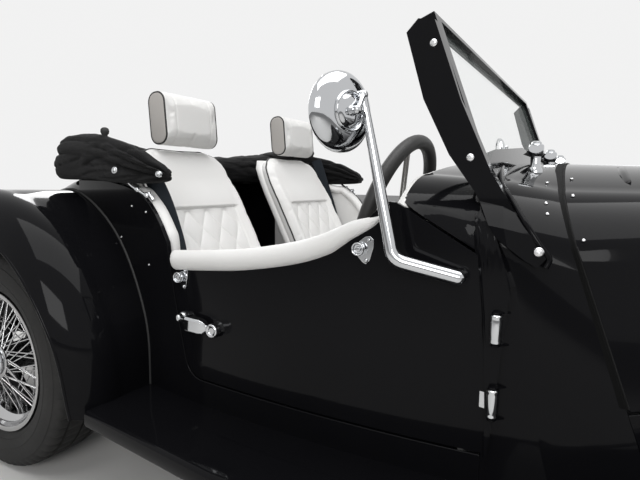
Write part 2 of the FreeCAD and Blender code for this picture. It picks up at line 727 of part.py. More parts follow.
def build_grille():
    """Upright bars between two cross rails, trimmed to the cowl's opening."""
    spacing, bar_width, bar_depth = 36, 9, 24
    low_z = size.side_foot_z
    face_x = nose_x + size.cowl_depth - 46
    top_z = size.nose_top_z

    def leaning(back, thick, low_y, high_y, z_from, z_to):
        x_from = face_x - back + face_section.slant * (top_z - z_from)
        x_to = face_x - back + face_section.slant * (top_z - z_to)
        corners = ((x_from, z_from), (x_from + thick, z_from), (x_to + thick, z_to), (x_to, z_to))
        return prism_xz(corners, low_y, high_y)

    count = int(size.nose_half_width // spacing)
    bars = [leaning(0, bar_depth, i * spacing - bar_width / 2, i * spacing + bar_width / 2, low_z, top_z)
            for i in range(-count, count + 1)]
    rails = [leaning(10, 10, -size.nose_half_width, size.nose_half_width, z, z + 14)
             for z in (low_z + 90, low_z + 270)]
    grille = bars[0].multiFuse(bars[1:] + rails).common(cowl_hollow(low_z + size.cowl_rim))
    return shaped(grille, "grille")


def build_apron():
    """Bent sheet between the front wings below the grille."""
    low = "side_foot_z"
    start = FRONT_AXLE + " + radiator_set + 90"
    points = (
        (start, low), (f"{start} + 160", f"{low} - 6"), (f"{start} + 250", f"{low} - 60"),
        (f"{start} + 262", f"{low} - 120"), (f"{start} + 252", f"{low} - 120"), (f"{start} + 240", f"{low} - 64"),
        (f"{start} + 154", f"{low} - 14"), (start, f"{low} - 10"),
    )
    return node("front_apron", padded("XZ_Plane", points, "2 * (rail_y - 25)"))


# Wings and running boards
# A wing is lofted through stations along its crown. Each station has the crown's place beside the axle
# (run forward, height), the way inward in degrees, root y and drop, crown y, outer y and lip depth.
FRONT_WING = (
    (500, 352, 188, 400, 6, 590, 752, 40),
    (470, 500, 204, 372, 16, 610, 802, 58),
    (372, 640, 226, 200, 92, 650, 840, 66),
    (222, 722, 248, 200, 166, 680, 855, 70),
    (40, 750, 269, 200, 204, 692, 860, 72),
    (-160, 728, 286, 200, 204, 692, 860, 72),
    (-360, 646, 299, 200, 164, 696, 860, 72),
    (-580, 522, 300, 300, 96, 700, 860, 68),
    (-780, 412, 294, 400, 50, 706, 860, 58),
)
REAR_WING_ANGLES = (
    # angle round the axle, crown radius, root drop, crown y, outer y
    (-7, 466, 4, 700, 822),
    (20, 474, 6, 712, 845),
    (50, 486, 8, 722, 858),
    (82, 490, 8, 726, 860),
    (112, 500, 10, 722, 860),
    (138, 530, 14, 712, 856),
    (160, 566, 16, 700, 846),
    (178, 588, 16, 690, 830),
    (190, 596, 16, 680, 812),
)


def wing_wire(axle_x, axle_z, station):
    """Closed outline of the wing's sheet at one station."""
    run, height, inward, root_y, root_drop, crown_y, outer_y, lip = station
    gauge = size.wing_gauge
    base = Vector(axle_x + run, 0, height)
    into = Vector(math.cos(math.radians(inward)), 0, math.sin(math.radians(inward)))

    def at(y, depth):
        return base + into * depth + Vector(0, y, 0)

    rise_y = root_y + 0.55 * (crown_y - root_y)
    rise = 0.30 * root_drop
    turn_y = crown_y + 0.74 * (outer_y - crown_y)
    turn = 0.30 * lip
    return Part.Wire([
        Part.Arc(at(root_y, root_drop), at(rise_y, rise), at(crown_y, 0)).toShape(),
        Part.Arc(at(crown_y, 0), at(turn_y, turn), at(outer_y, lip)).toShape(),
        Part.makeLine(at(outer_y, lip), at(outer_y - gauge, lip)),
        Part.Arc(at(outer_y - gauge, lip), at(turn_y - 0.7 * gauge, turn + 0.75 * gauge),
                 at(crown_y, gauge)).toShape(),
        Part.Arc(at(crown_y, gauge), at(rise_y, rise + gauge), at(root_y, root_drop + gauge)).toShape(),
        Part.makeLine(at(root_y, root_drop + gauge), at(root_y, root_drop)),
    ])


def rear_wing_stations():
    inner_y = tub_y(size.rear_axle_x - 400) - 120
    for angle, radius, root_drop, crown_y, outer_y in REAR_WING_ANGLES:
        run = radius * math.cos(math.radians(angle))
        height = axle_z + radius * math.sin(math.radians(angle))
        lip = max(radius - size.arch_radius, 40) if angle < 120 else 80
        yield run, height, angle + 180, inner_y, root_drop, crown_y, outer_y, lip


def front_wing_stations():
    yield from FRONT_WING
    # The tail of the wing lies on the running board
    seat_z = size.board_top_z + size.fit_gap
    for run, height in ((-940, 342), (-1035, 304)):
        yield run, height, 270, 400, height - seat_z - size.wing_gauge, 712, 860, height - seat_z


def build_wings():
    nose_block = arch_block((face_section, nose_section, seam_section), size.side_foot_z)
    tub = plan_prism(0, 0, 1300, size.seam_x)
    solid_body = (plan_prism(0, 0, size.side_foot_z), nose_block, scuttle_block(), tub)
    for name, axle_x, stations in (
        ("front_wing", front_axle_x, front_wing_stations()),
        ("rear_wing", size.rear_axle_x, rear_wing_stations()),
    ):
        wires = [wing_wire(axle_x, axle_z, station) for station in stations]
        wing = biggest(Part.makeLoft(wires, True, True).cut(solid_body))
        shaped(wing, name + "_left")
        shaped(mirror_y(wing), name + "_right")


def build_running_boards():
    """Boards from the front wing's tail to the rear wing, against the tub's side."""
    top = size.board_top_z
    low = top - size.board_gauge
    front_x = front_axle_x - 930
    rear_x = size.rear_axle_x + 461
    plan = ((rear_x, 0), (rear_x, 814), (-240, 858), (0, 860), (front_x, 860), (front_x, 0))
    corners = [Vector(x, y, low) for x, y in plan]
    board = Part.Face(Part.makePolygon(corners + corners[:1])).extrude(Vector(0, 0, top - low))
    board = board.cut(plan_prism(0, 0, 1200))
    wing = subpart("rear_wing_left").Shape
    board = biggest(board.cut(wing))
    return shaped(Part.makeCompound([board, mirror_y(board)]), "running_boards")


# Doors
def build_doors():
    band = side_band(size.floor_z, 1000, 300, -700, size.side_wall)
    for solid in band.common(door_prism(0)).Solids:
        side = "left" if solid.CenterOfMass.y > 0 else "right"
        shaped(solid, "door_" + side)


HINGE_HEIGHTS = (566, 433)
HINGE_BARREL = 50
HINGE_PIN_RADIUS = 4


def build_hinge_pins():
    """Pins of the door hinges, each held above and below its barrel by an ear on the scuttle's side."""
    skin = tub_y(size.hinge_x)
    hinge_y = skin + size.hinge_reach
    scuttle = subpart("scuttle").Shape
    door_room = door_prism(size.panel_gap)
    pins = []
    for z in HINGE_HEIGHTS:
        low, high = z - 6, z + HINGE_BARREL + 6
        pin = Part.makeCylinder(HINGE_PIN_RADIUS, high - low, Vector(size.hinge_x, hinge_y, low))
        for ear_low, ear_high in ((low, z - size.fit_gap), (z + HINGE_BARREL + size.fit_gap, high)):
            ear = slab((size.hinge_x - 5, skin + 2, ear_low), (size.hinge_x + 28, hinge_y + 5, ear_high))
            foot = slab((size.hinge_x, skin - 40, ear_low), (size.hinge_x + 28, skin + 3, ear_high))
            pin = pin.fuse(ear).fuse(foot.cut(door_room).cut(scuttle))
        pins.append(biggest(pin))
    shaped(Part.makeCompound(pins + [mirror_y(pin) for pin in pins]), "door_hinge_pins")


def build_door_fittings():
    """Hinge barrels, outside handle, mirror and its arm, all carried by the left door."""
    skin = tub_y(size.hinge_x)
    hinge_y = skin + size.hinge_reach
    parts = []
    for z in HINGE_HEIGHTS:
        barrel = Part.makeCylinder(9, HINGE_BARREL, Vector(size.hinge_x, hinge_y, z))
        leaf = slab((size.hinge_x - 24, skin - 3, z + 6), (size.hinge_x, hinge_y - 2, z + HINGE_BARREL - 6))
        bore = Part.makeCylinder(HINGE_PIN_RADIUS + size.bearing_gap, HINGE_BARREL,
                                 Vector(size.hinge_x, hinge_y, z))
        parts.append(barrel.fuse(leaf).cut(plan_prism(0, 0, 1200)).cut(bore))
    handle_x, handle_z = door_rear_x + 138, 503
    handle_y = tub_y(handle_x) + 32
    grip = Part.makeCylinder(9, 130, Vector(handle_x - 65, handle_y, handle_z), Vector(1, 0, 0))
    boss = Part.makeCylinder(19, 60, Vector(handle_x - 62, handle_y + 6 - 60, handle_z), Vector(0, 1, 0))
    parts.append(grip.fuse(boss))
    arm_points = (Vector(164, 600, 676), Vector(150, 668, 676), Vector(56, 700, 708), Vector(-10, 700, 985),
                  Vector(-20, 718, 966))
    arm = None
    for start, end in zip(arm_points, arm_points[1:]):
        run = end - start
        piece = Part.makeCylinder(8, run.Length, start, run)
        arm = piece if arm is None else arm.fuse(piece).fuse(Part.makeSphere(8, start))
    facing = Vector(0.95, 0.31, 0)
    head = Part.makeCylinder(70, 32, Vector(-36, 722, 960) - facing * 18, facing)
    parts.append(arm.fuse(head))
    door = subpart("door_left").Shape
    fittings = [biggest(part.cut(door)) for part in parts]
    shaped(Part.makeCompound(fittings), "door_fittings_left")
    shaped(Part.makeCompound([mirror_y(part) for part in fittings]), "door_fittings_right")


# Windscreen
def screen_outline(inset, foot_drop):
    """Outline in the screen's own plane: y, distance down the slope from the top edge."""
    slope = (size.screen_top_z - size.cowl_top_z) / math.cos(math.radians(size.screen_lean))
    half = size.screen_half_width
    return (
        (half - 18 - inset, inset), (half - inset, slope + foot_drop - inset),
        (-(half - inset), slope + foot_drop - inset), (-(half - 18 - inset), inset),
    )


def on_screen(y, down, out=0):
    """Point in the leaning plane of the windscreen; out is towards the nose."""
    lean = math.radians(size.screen_lean)
    x = screen_x + down * math.sin(lean) + out * math.cos(lean)
    z = size.screen_top_z - down * math.cos(lean) + out * math.sin(lean)
    return Vector(x, y, z)


def screen_plate(points, thickness, out=0):
    corners = [on_screen(y, down, out - thickness / 2) for y, down in points]
    push = on_screen(0, 0, thickness) - on_screen(0, 0, 0)
    return Part.Face(Part.makePolygon(corners + corners[:1])).extrude(push)


def window_outline():
    slope = (size.screen_top_z - size.cowl_top_z) / math.cos(math.radians(size.screen_lean))
    half = size.screen_half_width
    rail, post = 11, size.post_width
    return (
        (half - 18 - post, rail), (half - 4 - post, slope + 24), (half * 0.738, slope * 0.956), (0, slope * 0.83),
        (half * -0.738, slope * 0.956), (-(half - 4 - post), slope + 24), (-(half - 18 - post), rail),
    )


def post_outline():
    """Side outline of a windscreen post: distance down the slope, distance towards the nose."""
    foot = (size.screen_top_z - size.cowl_top_z) / math.cos(math.radians(size.screen_lean))
    return (
        (foot * 0.076, -41), (foot * 0.028, -13), (foot * 0.087, 14), (foot * 0.356, 13), (foot * 0.647, 12),
        (foot * 0.871, 16),
        (foot + 43, 21), (foot + 123, 37), (foot + 182, 58), (foot + 211, 62), (foot + 222, 44), (foot + 204, 30),
        (foot + 153, -1), (foot + 66, -16), (foot * 0.956, -38), (foot * 0.544, -50),
    )


def build_windscreen():
    """Frame with its lower rail seated on the scuttle, the glass, and the plates at the posts' feet."""
    window = window_outline()
    frame = screen_plate(screen_outline(0, 120), size.post_depth).cut(screen_plate(window, size.post_depth + 4))
    scuttle = scuttle_block()
    frame = biggest(frame.cut(scuttle))
    frame = frame.cut(slab((0, -1000, 0), (500, 1000, 745)))
    post = [on_screen(0, down, out) for down, out in post_outline()]
    post = prism_xz([(point.x, point.z) for point in post])
    outer, inner = size.screen_half_width + 6, size.screen_half_width - 24
    sides = (slab((-500, inner, 0), (500, outer, 2000)), slab((-500, -outer, 0), (500, -inner, 2000)))
    low = slab((-500, -1000, 0), (500, 1000, size.cowl_top_z))
    skirt = scuttle_block(-14).common(low).cut(slab((-500, -inner, 0), (500, inner, 2000)))
    for piece in (sides[0], sides[1], skirt):
        for foot in piece.common(post).cut(scuttle).Solids:
            frame = frame.fuse(foot)
    shaped(biggest(frame), "windscreen_frame")
    shaped(screen_plate(window, size.glass_gauge), "windscreen_glass")


def build_wipers():
    """Three parked wipers: spindle on the scuttle, arm and blade along the glass."""
    scuttle = scuttle_block()
    wipers = []
    for y in (-330, -30, 270):
        base = Vector(size.seam_x - 42, y, size.cowl_top_z - 80)
        spindle = biggest(Part.makeCylinder(9, 110, base).cut(scuttle))
        tip = Vector(size.seam_x - 68, y + 210, size.cowl_top_z + 26 - (abs(y + 210) / 30))
        start = Vector(base.x, y, spindle.BoundBox.ZMax - 6)
        arm = Part.makeCylinder(4, (tip - start).Length, start, tip - start)
        blade_start = tip - Vector(0, 130, 0)
        blade = Part.makeCylinder(4, 230, blade_start, Vector(0, 1, 0))
        wipers.append(spindle.fuse(arm).fuse(blade).cut(scuttle))
    return shaped(Part.makeCompound([biggest(wiper) for wiper in wipers]), "wipers")


# Steering and controls
def build_steering():
    """Column from the bulkhead to the wheel, and a three-spoke wheel on its end."""
    tilt = size.steering_tilt
    end_x = size.seam_x + 70 - 19 * math.sin(math.radians(tilt)) - size.fit_gap
    reach = (end_x - size.steering_x) / math.cos(math.radians(tilt))
    at = ("steering_x", "-" + SEAT_Y, "steering_z")
    turn = ((0, 1, 0), 90 + tilt)
    rim = primitive("Torus", {"Radius1": "steering_radius", "Radius2": "grip_radius"}, at, *turn)
    parts = [rim, rod(34, 30, at, *turn)]
    for angle in (0, 120, 240):
        spoke = doc.addObject("Part::Box", "spoke")
        bind(spoke, {"Length": "steering_radius", "Width": 30, "Height": 6})
        tip = Placement(Vector(size.steering_x, -seat_y, size.steering_z), Rotation(Vector(0, 1, 0), 90 + tilt))
        spoke.Placement = tip.multiply(Placement(Vector(), Rotation(Vector(0, 0, 1), angle))).multiply(
            Placement(Vector(0, -15, 2), Rotation()))
        parts.append(spoke)
    fused("steering_wheel", parts)
    direction = Vector(math.cos(math.radians(tilt)), 0, -math.sin(math.radians(tilt)))
    centre = Vector(size.steering_x, -seat_y, size.steering_z)
    start = centre + direction * (30 + size.fit_gap)
    column = Part.makeCylinder(19, reach - 30, start, direction)
    shroud = Part.makeCylinder(34, 150, centre + direction * 60, direction)
    column = column.fuse(shroud)
    dash = subpart("dashboard")
    dash.Shape = dash.Shape.cut(column)
    shaped(column, "steering_column")


def build_levers():
    """Gear lever and handbrake on the tunnel, and the pedals on the bulkhead."""
    tunnel_z = size.floor_z + 190
    gear = Part.makeCylinder(6, 150, Vector(-60, 0, tunnel_z), Vector(-0.15, 0, 1)).fuse(
        Part.makeSphere(21, Vector(-84, 0, tunnel_z + 158)))
    brake_y = tunnel_half_width * 0.65
    bracket = tunnel_half_width * 0.18
    brake = Part.makeCylinder(11, 250, Vector(-150, brake_y, tunnel_z + 11), Vector(-1, 0, 0.25)).fuse(
        slab((-175, brake_y - bracket, tunnel_z), (-120, brake_y + bracket, tunnel_z + 26)))
    floor = subpart("floor_and_tunnel").Shape
    return shaped(Part.makeCompound([biggest(gear.cut(floor)), biggest(brake.cut(floor))]), "levers")


# Seats, belts and hood
def build_seats():
    gap = "fit_gap"
    base = f"({FLOOR_TOP} + {gap})"
    cushion_points = (
        ("seat_front_x", base), ("seat_front_x", "seat_top_z - 60"), ("seat_front_x - 45", "seat_top_z"),
        (f"seat_joint_x + {gap}", "seat_top_z - 30"), (f"seat_joint_x + {gap}", base),
    )
    lean = "tan(back_rake)"
    back_points = (
        ("seat_joint_x", base), ("seat_joint_x", "seat_top_z + 20"),
        (f"seat_joint_x - (back_top_z - seat_top_z - 62) * {lean}", "back_top_z - 42"),
        (f"seat_joint_x - (back_top_z - seat_top_z - 62) * {lean} - 10", "back_top_z"),
        (f"seat_joint_x - (back_top_z - seat_top_z - 62) * {lean} - back_gauge * 0.9", "back_top_z"),
        (f"seat_joint_x - (back_top_z - seat_top_z - 62) * {lean} - back_gauge", "back_top_z - 30"),
        ("seat_joint_x - back_gauge", "seat_top_z - 20"), ("seat_joint_x - back_gauge", base),
    )
    shoulder = (
        ("seat_width / 2", base), ("seat_width / 2", "back_top_z - 122"),
        ("seat_width / 2 - 12", "back_top_z - 47"),
        ("seat_width / 2 - 37", "back_top_z - 17"), ("headrest_width / 2 + 5", "back_top_z + 1"),
    )
    taper_points = shoulder + tuple((f"-({y})", z) for y, z in reversed(shoulder))
    roll_points = (
        ("headrest_depth / 2", "headrest_height / 2"), ("headrest_depth / 2", "-headrest_height / 2"),
        ("-headrest_depth / 2", "-headrest_height / 2"), ("-headrest_depth / 2", "headrest_height / 2"),
    )
    for side, sign in (("left", 1), ("right", -1)):
        y = f"{sign} * {SEAT_Y}"
        cushion = place(padded("XZ_Plane", cushion_points, "seat_width"), 0, y)
        back = common(place(padded("XZ_Plane", back_points, "seat_width"), 0, y),
                      place(padded("YZ_Plane", taper_points, 4000), 0, y))
        headrest = place(padded("XZ_Plane", roll_points, "headrest_width"), "headrest_x", y,
                         f"back_top_z + {gap} + headrest_height / 2")
        node("seat_cushion_" + side, cushion)
        grouped("seat_back_" + side, [back, headrest])


def build_hood():
    """Folded hood: a roll across the car behind the seats and an arm forward along each quarter."""
    lift = size.fit_gap
    top = size.tail_top_z
    roll = ((-965, top + lift), (-968, 960), (-1000, 978), (-1075, 960), (-1140, 925), (-1168, top + lift))
    arm = ((-641, 834), (-643, 858), (-664, 889), (-715, 917), (-795, 940), (-892, 963), (-1000, 978),
           (-1000, top + lift), (-860, top - 1 + lift), (-690, 806 + lift))
    wide = plan_prism(-14, 0, 1200, 0, -1400)
    narrow = plan_prism(40, -1, 1201, 1, -1401)
    hood = prism_xz(roll).common(wide).fuse(prism_xz(arm).common(wide.cut(narrow)))
    return shaped(hood, "folded_hood")


# Lamps and bumpers
def build_lamps():
    """Headlamp pods and small lamps on the wings, each on a foot trimmed to the panel under it."""
    wing = subpart("front_wing_left").Shape
    rear_wing = subpart("rear_wing_left").Shape
    radius = size.headlamp_radius
    back_x = nose_x + 6
    y, z = size.headlamp_y, size.headlamp_z
    bowl = Part.makeCone(radius * 0.45, radius * 0.97, 90, Vector(back_x, y, z), Vector(1, 0, 0))
    rim = Part.makeCylinder(radius, 36, Vector(back_x + 90, y, z), Vector(1, 0, 0))
    foot = Part.makeCylinder(24, 200, Vector(back_x + 70, y, z - 200), Vector(0, 0, 1))
    headlamp = biggest(bowl.fuse(rim).fuse(foot).cut(wing))
    crown_x = front_axle_x + 300
    side_lamp = Part.makeCylinder(24, 70, Vector(crown_x, 690, 722), Vector(1, 0, 0)).fuse(
        Part.makeCylinder(12, 90, Vector(crown_x + 35, 690, 640), Vector(0, 0, 1)))
    side_lamp = biggest(side_lamp.cut(wing))
    rear_x = size.rear_axle_x - 568
    rear_lamp = Part.makeCylinder(38, 60, Vector(rear_x - 45, 690, 470), Vector(1, 0, 0))
    rear_lamp = biggest(rear_lamp.cut(rear_wing))
    shaped(Part.makeCompound([headlamp, mirror_y(headlamp)]), "headlamps")
    shaped(Part.makeCompound([side_lamp, mirror_y(side_lamp), rear_lamp, mirror_y(rear_lamp)]), "small_lamps")


def build_bumper(label, face, sign):
    """Bar swept back at its ends, on two brackets from the chassis rails."""
    back = f"({face} - {sign} * 42)"
    rail_end = "rear_axle_x + wheelbase + 330" if sign > 0 else "rear_axle_x - 560"
    bar_points = (
        (face, -430), (face, 430), (f"{face} - {sign} * 70", 690), (f"{back} - {sign} * 70", 690),
        (back, 430), (back, -430), (f"{back} - {sign} * 70", -690), (f"{face} - {sign} * 70", -690),
    )
    bar = place(padded("XY_Plane", bar_points, 64), 0, 0, "floor_z + 180")
    bracket_points = (
        (rail_end, "floor_z - rail_height"), (rail_end, "floor_z - 5"),
        (f"{rail_end} + {sign} * 172", "floor_z - 5"),
        (f"{back} - {sign} * 16", "floor_z + 210"), (back, "floor_z + 210"), (back, "floor_z + 150"),
        (f"{rail_end} + {sign} * 215", "floor_z - rail_height"),
    )
    brackets = [place(padded("XZ_Plane", bracket_points, 22), 0, f"{side} * rail_y") for side in (1, -1)]
    return fused(label, [bar] + brackets)


# Wheels
def build_wheels():
    """Wire wheels, tyres, the steering knuckles and the spare on the tail."""
    half = size.rim_width / 2
    gauge = size.rim_gauge
    well = size.rim_radius - 40
    rim_outline = (
        (-half, size.rim_radius), (-half, size.rim_radius - 12), (-half + 14, size.rim_radius - 22),
        (-half + 36, well), (half - 36, well), (half - 14, size.rim_radius - 22), (half, size.rim_radius - 12),
        (half, size.rim_radius), (half - gauge, size.rim_radius), (half - gauge, size.rim_radius - 8),
        (half - 14 - gauge * 0.4, size.rim_radius - 14), (half - 36, well + gauge), (-half + 36, well + gauge),
        (-half + 14 + gauge * 0.4, size.rim_radius - 14), (-half + gauge, size.rim_radius - 8),
        (-half + gauge, size.rim_radius),
    )
    bore = size.spindle_radius + size.bearing_gap
    hub_outline = (
        (-46, bore), (-46, size.hub_radius + 14), (-36, size.hub_radius + 14), (-30, size.hub_radius),
        (66, size.hub_radius - 4), (70, size.hub_radius + 2), (82, size.hub_radius), (size.hub_reach - 8, 34),
        (size.hub_reach, 16), (size.hub_reach, 0), (36, 0), (36, bore),
    )

    def turned(outline):
        corners = [Vector(0, y, r) for y, r in outline]
        return Part.Face(Part.makePolygon(corners + corners[:1])).revolve(Vector(), Vector(0, 1, 0), 360)

    wheel = turned(rim_outline).fuse(turned(hub_outline))
    spokes = []
    count = int(size.spoke_count)
    for i in range(count):
        outer_row = i % 2 == 0
        hub_y, rim_y = (74, 20) if outer_row else (-40, -14)
        turn = 2 * math.pi * i / count
        twist = math.radians(26 if i % 4 < 2 else -26)
        start = Vector((size.hub_radius - 3) * math.sin(turn), hub_y, (size.hub_radius - 3) * math.cos(turn))
        end = Vector((well + 3) * math.sin(turn + twist), rim_y, (well + 3) * math.cos(turn + twist))
        spokes.append(Part.makeCylinder(size.spoke_radius, (end - start).Length, start, end - start))
    wheel = wheel.multiFuse(spokes)

    radius, wide = size.tyre_radius, size.tyre_width / 2
    bead = half - gauge - size.fit_gap
    tyre_outline = (
        (-bead, size.rim_radius + 0.5), (-wide, size.rim_radius + 45), (-wide + 8, radius - 22),
        (-wide + 26, radius), (wide - 26, radius), (wide - 8, radius - 22), (wide, size.rim_radius + 45),
        (bead, size.rim_radius + 0.5),
    )
    tyre = turned(tyre_outline)
    seats = turned(((-bead, size.rim_radius - 7), (-bead, size.rim_radius + 1), (bead, size.rim_radius + 1),
                    (bead, size.rim_radius - 7)))
    tyre = biggest(tyre.fuse(seats.cut(wheel)))

    axles = (("front", front_axle_x, size.front_wheel_y), ("rear", size.rear_axle_x, size.rear_wheel_y))
    for place_name, x, y in axles:
        for side, sign in (("left", 1), ("right", -1)):
            for kind, shape in (("wire_wheel", wheel), ("tyre", tyre)):
                own = shape if sign > 0 else mirror_y(shape)
                item = shaped(own, f"{kind}_{place_name}_{side}")
                item.Placement = Placement(Vector(x, sign * y, axle_z), Rotation())


def build_knuckles():
    """Sleeve on the sliding pillar with the stub axle and the brake back plate."""
    low, high = size.floor_z + 44 + size.fit_gap, size.floor_z + 190 - size.fit_gap
    centre = Vector(front_axle_x, size.kingpin_y, 0)
    sleeve = Part.makeCylinder(27, high - low, centre + Vector(0, 0, low))
    stub_end = size.front_wheel_y + 35
    stub = Part.makeCylinder(size.spindle_radius, stub_end - size.kingpin_y, centre + Vector(0, 0, axle_z),
                             Vector(0, 1, 0))
    plate = Part.makeCylinder(118, 16, Vector(front_axle_x, size.front_wheel_y - 68, axle_z), Vector(0, 1, 0))
    bore = Part.makeCylinder(size.pillar_radius + size.bearing_gap, 400, centre + Vector(0, 0, 100))
    knuckle = sleeve.fuse(stub).fuse(plate).cut(bore)
    shaped(knuckle, "knuckle_left")
    shaped(mirror_y(knuckle), "knuckle_right")


build_chassis()
build_front_cross_frame()
build_rear_axle()
build_leaf_springs()
build_engine()
build_exhaust()
build_fuel_tank()
build_floor()
build_scuttle()
build_body_sides()
build_tail()
build_spare_wheel()
build_dashboard()
build_bonnet()
build_valances()
build_radiator_cowl()
build_grille()
build_apron()
build_wings()
build_running_boards()
build_doors()
build_hinge_pins()
build_door_fittings()
build_windscreen()
build_wipers()
build_steering()
build_levers()
build_seats()
build_hood()
build_lamps()
build_bumper("front_bumper", FRONT_FACE, 1)
build_bumper("rear_bumper", REAR_FACE, -1)
build_wheels()
build_knuckles()

doc.recompute()
for item in doc.Objects:
    if {"Invalid", "Error"} & set(item.State):
        raise RuntimeError(f"{item.Label} did not build: {item.State}")
os.makedirs("parts", exist_ok=True)
for item in SUBPARTS:
    if item.Shape.isNull() or not item.Shape.isValid() or not item.Shape.Solids:
        raise RuntimeError(f"{item.Label} has no valid solid")
    item.Shape.exportStep(f"parts/{item.Label}.step")
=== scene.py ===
import bmesh
import bpy
import math
from mathutils import Matrix, Vector, noise


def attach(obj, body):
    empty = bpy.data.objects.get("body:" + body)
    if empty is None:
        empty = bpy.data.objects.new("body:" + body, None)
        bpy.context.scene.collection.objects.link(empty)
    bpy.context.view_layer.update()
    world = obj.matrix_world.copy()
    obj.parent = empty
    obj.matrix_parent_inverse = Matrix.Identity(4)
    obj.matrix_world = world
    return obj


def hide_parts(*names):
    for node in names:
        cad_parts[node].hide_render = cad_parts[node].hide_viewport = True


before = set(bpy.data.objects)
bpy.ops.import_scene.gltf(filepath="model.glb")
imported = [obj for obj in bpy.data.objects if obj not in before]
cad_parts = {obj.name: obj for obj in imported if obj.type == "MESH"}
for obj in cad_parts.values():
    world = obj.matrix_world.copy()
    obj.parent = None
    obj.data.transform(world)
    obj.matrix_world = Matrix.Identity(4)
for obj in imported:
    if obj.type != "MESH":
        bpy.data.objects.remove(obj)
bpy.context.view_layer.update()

# Metres, in the car's frame: +X is the nose, +Y the left side, +Z up
AXLE_Z = 0.315
FRONT_AXLE_X = 1.365
REAR_AXLE_X = -1.125
NOSE_X = 1.485
SEAM_X = 0.275
SEAM_SLANT = 0.36
COWL_TOP_Z = 0.892
SIDE_FOOT_Z = 0.44
TUB_WIDEST_X = -0.15
TUB_HALF_WIDTH = 0.65
TUB_SIDE_RADIUS = 3.52
NOSE_HALF_WIDTH = 0.29
SIDES = (("left", 1), ("right", -1))


class Wire:
    """A node's output that takes part in Python arithmetic."""

    def __init__(self, finish, socket):
        self.finish = finish
        self.socket = socket

    def maths(self, operation, *values):
        return self.finish.node("Math", {"operation": operation}, *values)

    def __add__(self, other):
        return self.maths("ADD", self, other)

    __radd__ = __add__

    def __mul__(self, other):
        return self.maths("MULTIPLY", self, other)

    __rmul__ = __mul__

    def __pow__(self, other):
        return self.maths("POWER", self, other)


class Finish:
    """A material built from nodes around one Principled shader."""

    def __init__(self, name, **constants):
        self.material = bpy.data.materials.new(name)
        self.material.use_nodes = True
        self.tree = self.material.node_tree
        self.tree.nodes.clear()
        self.shader = self.tree.nodes.new("ShaderNodeBsdfPrincipled")
        self.out = self.tree.nodes.new("ShaderNodeOutputMaterial")
        self.tree.links.new(self.shader.outputs[0], self.out.inputs[0])
        for name, value in constants.items():
            self.feed(self.shader.inputs[name.replace("_", " ")], value)

    def feed(self, socket, value):
        if isinstance(value, Wire):
            self.tree.links.new(value.socket, socket)
        elif isinstance(value, tuple) and len(value) == 3 and socket.type == "RGBA":
            socket.default_value = (*value, 1)
        else:
            socket.default_value = value

    def node(self, kind, settings, *values, out=0, **named):
        """Add a node: settings first, then its sockets by place or by name."""
        node = self.tree.nodes.new("ShaderNode" + kind)
        for name, value in settings.items():
            setattr(node, name, value)
        for socket, value in zip(node.inputs, values):
            if value is not None:
                self.feed(socket, value)
        for name, value in named.items():
            self.feed(node.inputs[name.replace("_", " ")], value)
        return Wire(self, node.outputs[out])

    def place(self):
        return self.node("TexCoord", {}, out=3)

    def noise(self, scale, detail=3, roughness=0.5):
        return self.node("TexNoise", {}, Vector=self.place(), Scale=scale, Detail=detail, Roughness=roughness)

    def cells(self, scale, feature="F1"):
        return self.node("TexVoronoi", {"feature": feature}, Vector=self.place(), Scale=scale)

    def blend(self, share, low, high):
        """Colour between two colours."""
        mix = self.node("Mix", {"data_type": "RGBA"}, share, out=2)
        self.feed(mix.socket.node.inputs[6], low)
        self.feed(mix.socket.node.inputs[7], high)
        return mix

    def bands(self, direction, scale, **extra):
        """Stripes across a direction."""
        return self.node("TexWave", {"wave_type": "BANDS", "bands_direction": direction},
                         Vector=self.place(), Scale=scale, **extra)

    def bump(self, height, distance, strength=1.0):
        self.feed(self.shader.inputs["Normal"],
                  self.node("Bump", {}, Strength=strength, Distance=distance, Height=height))

    def set(self, **sockets):
        for name, value in sockets.items():
            self.feed(self.shader.inputs[name.replace("_", " ")], value)
        return self


# Finishes
def gloss_paint(name, colour):
    paint = Finish(name, IOR=1.4, Specular_IOR_Level=0.05, Coat_Weight=0.27, Coat_Roughness=0.02,
                   Coat_IOR=1.28)
    drift = paint.noise(3.0, 4)
    paint.set(Base_Color=paint.blend(drift, colour, tuple(c * 1.35 + 0.001 for c in colour)))
    paint.set(Roughness=0.06 + 0.05 * paint.noise(11.0, 5))
    paint.bump(paint.noise(60.0, 2), 0.00012, 0.25)
    return paint.material


def plated(name, colour, roughness):
    metal = Finish(name, Metallic=1.0)
    metal.set(Base_Color=metal.blend(metal.noise(9.0, 4), colour, tuple(c * 0.93 for c in colour)))
    metal.set(Roughness=roughness + 0.06 * metal.noise(35.0, 5) * metal.noise(4.0, 2))
    metal.bump(metal.noise(160.0), 0.00006, 0.3)
    return metal.material


def satin_metal(name, colour, roughness, metallic=1.0):
    metal = Finish(name, Metallic=metallic)
    grain = metal.noise(140.0, 4)
    metal.set(Base_Color=metal.blend(grain, colour, tuple(c * 0.7 for c in colour)))
    metal.set(Roughness=roughness + 0.15 * grain)
    metal.bump(grain, 0.0004, 0.5)
    return metal.material


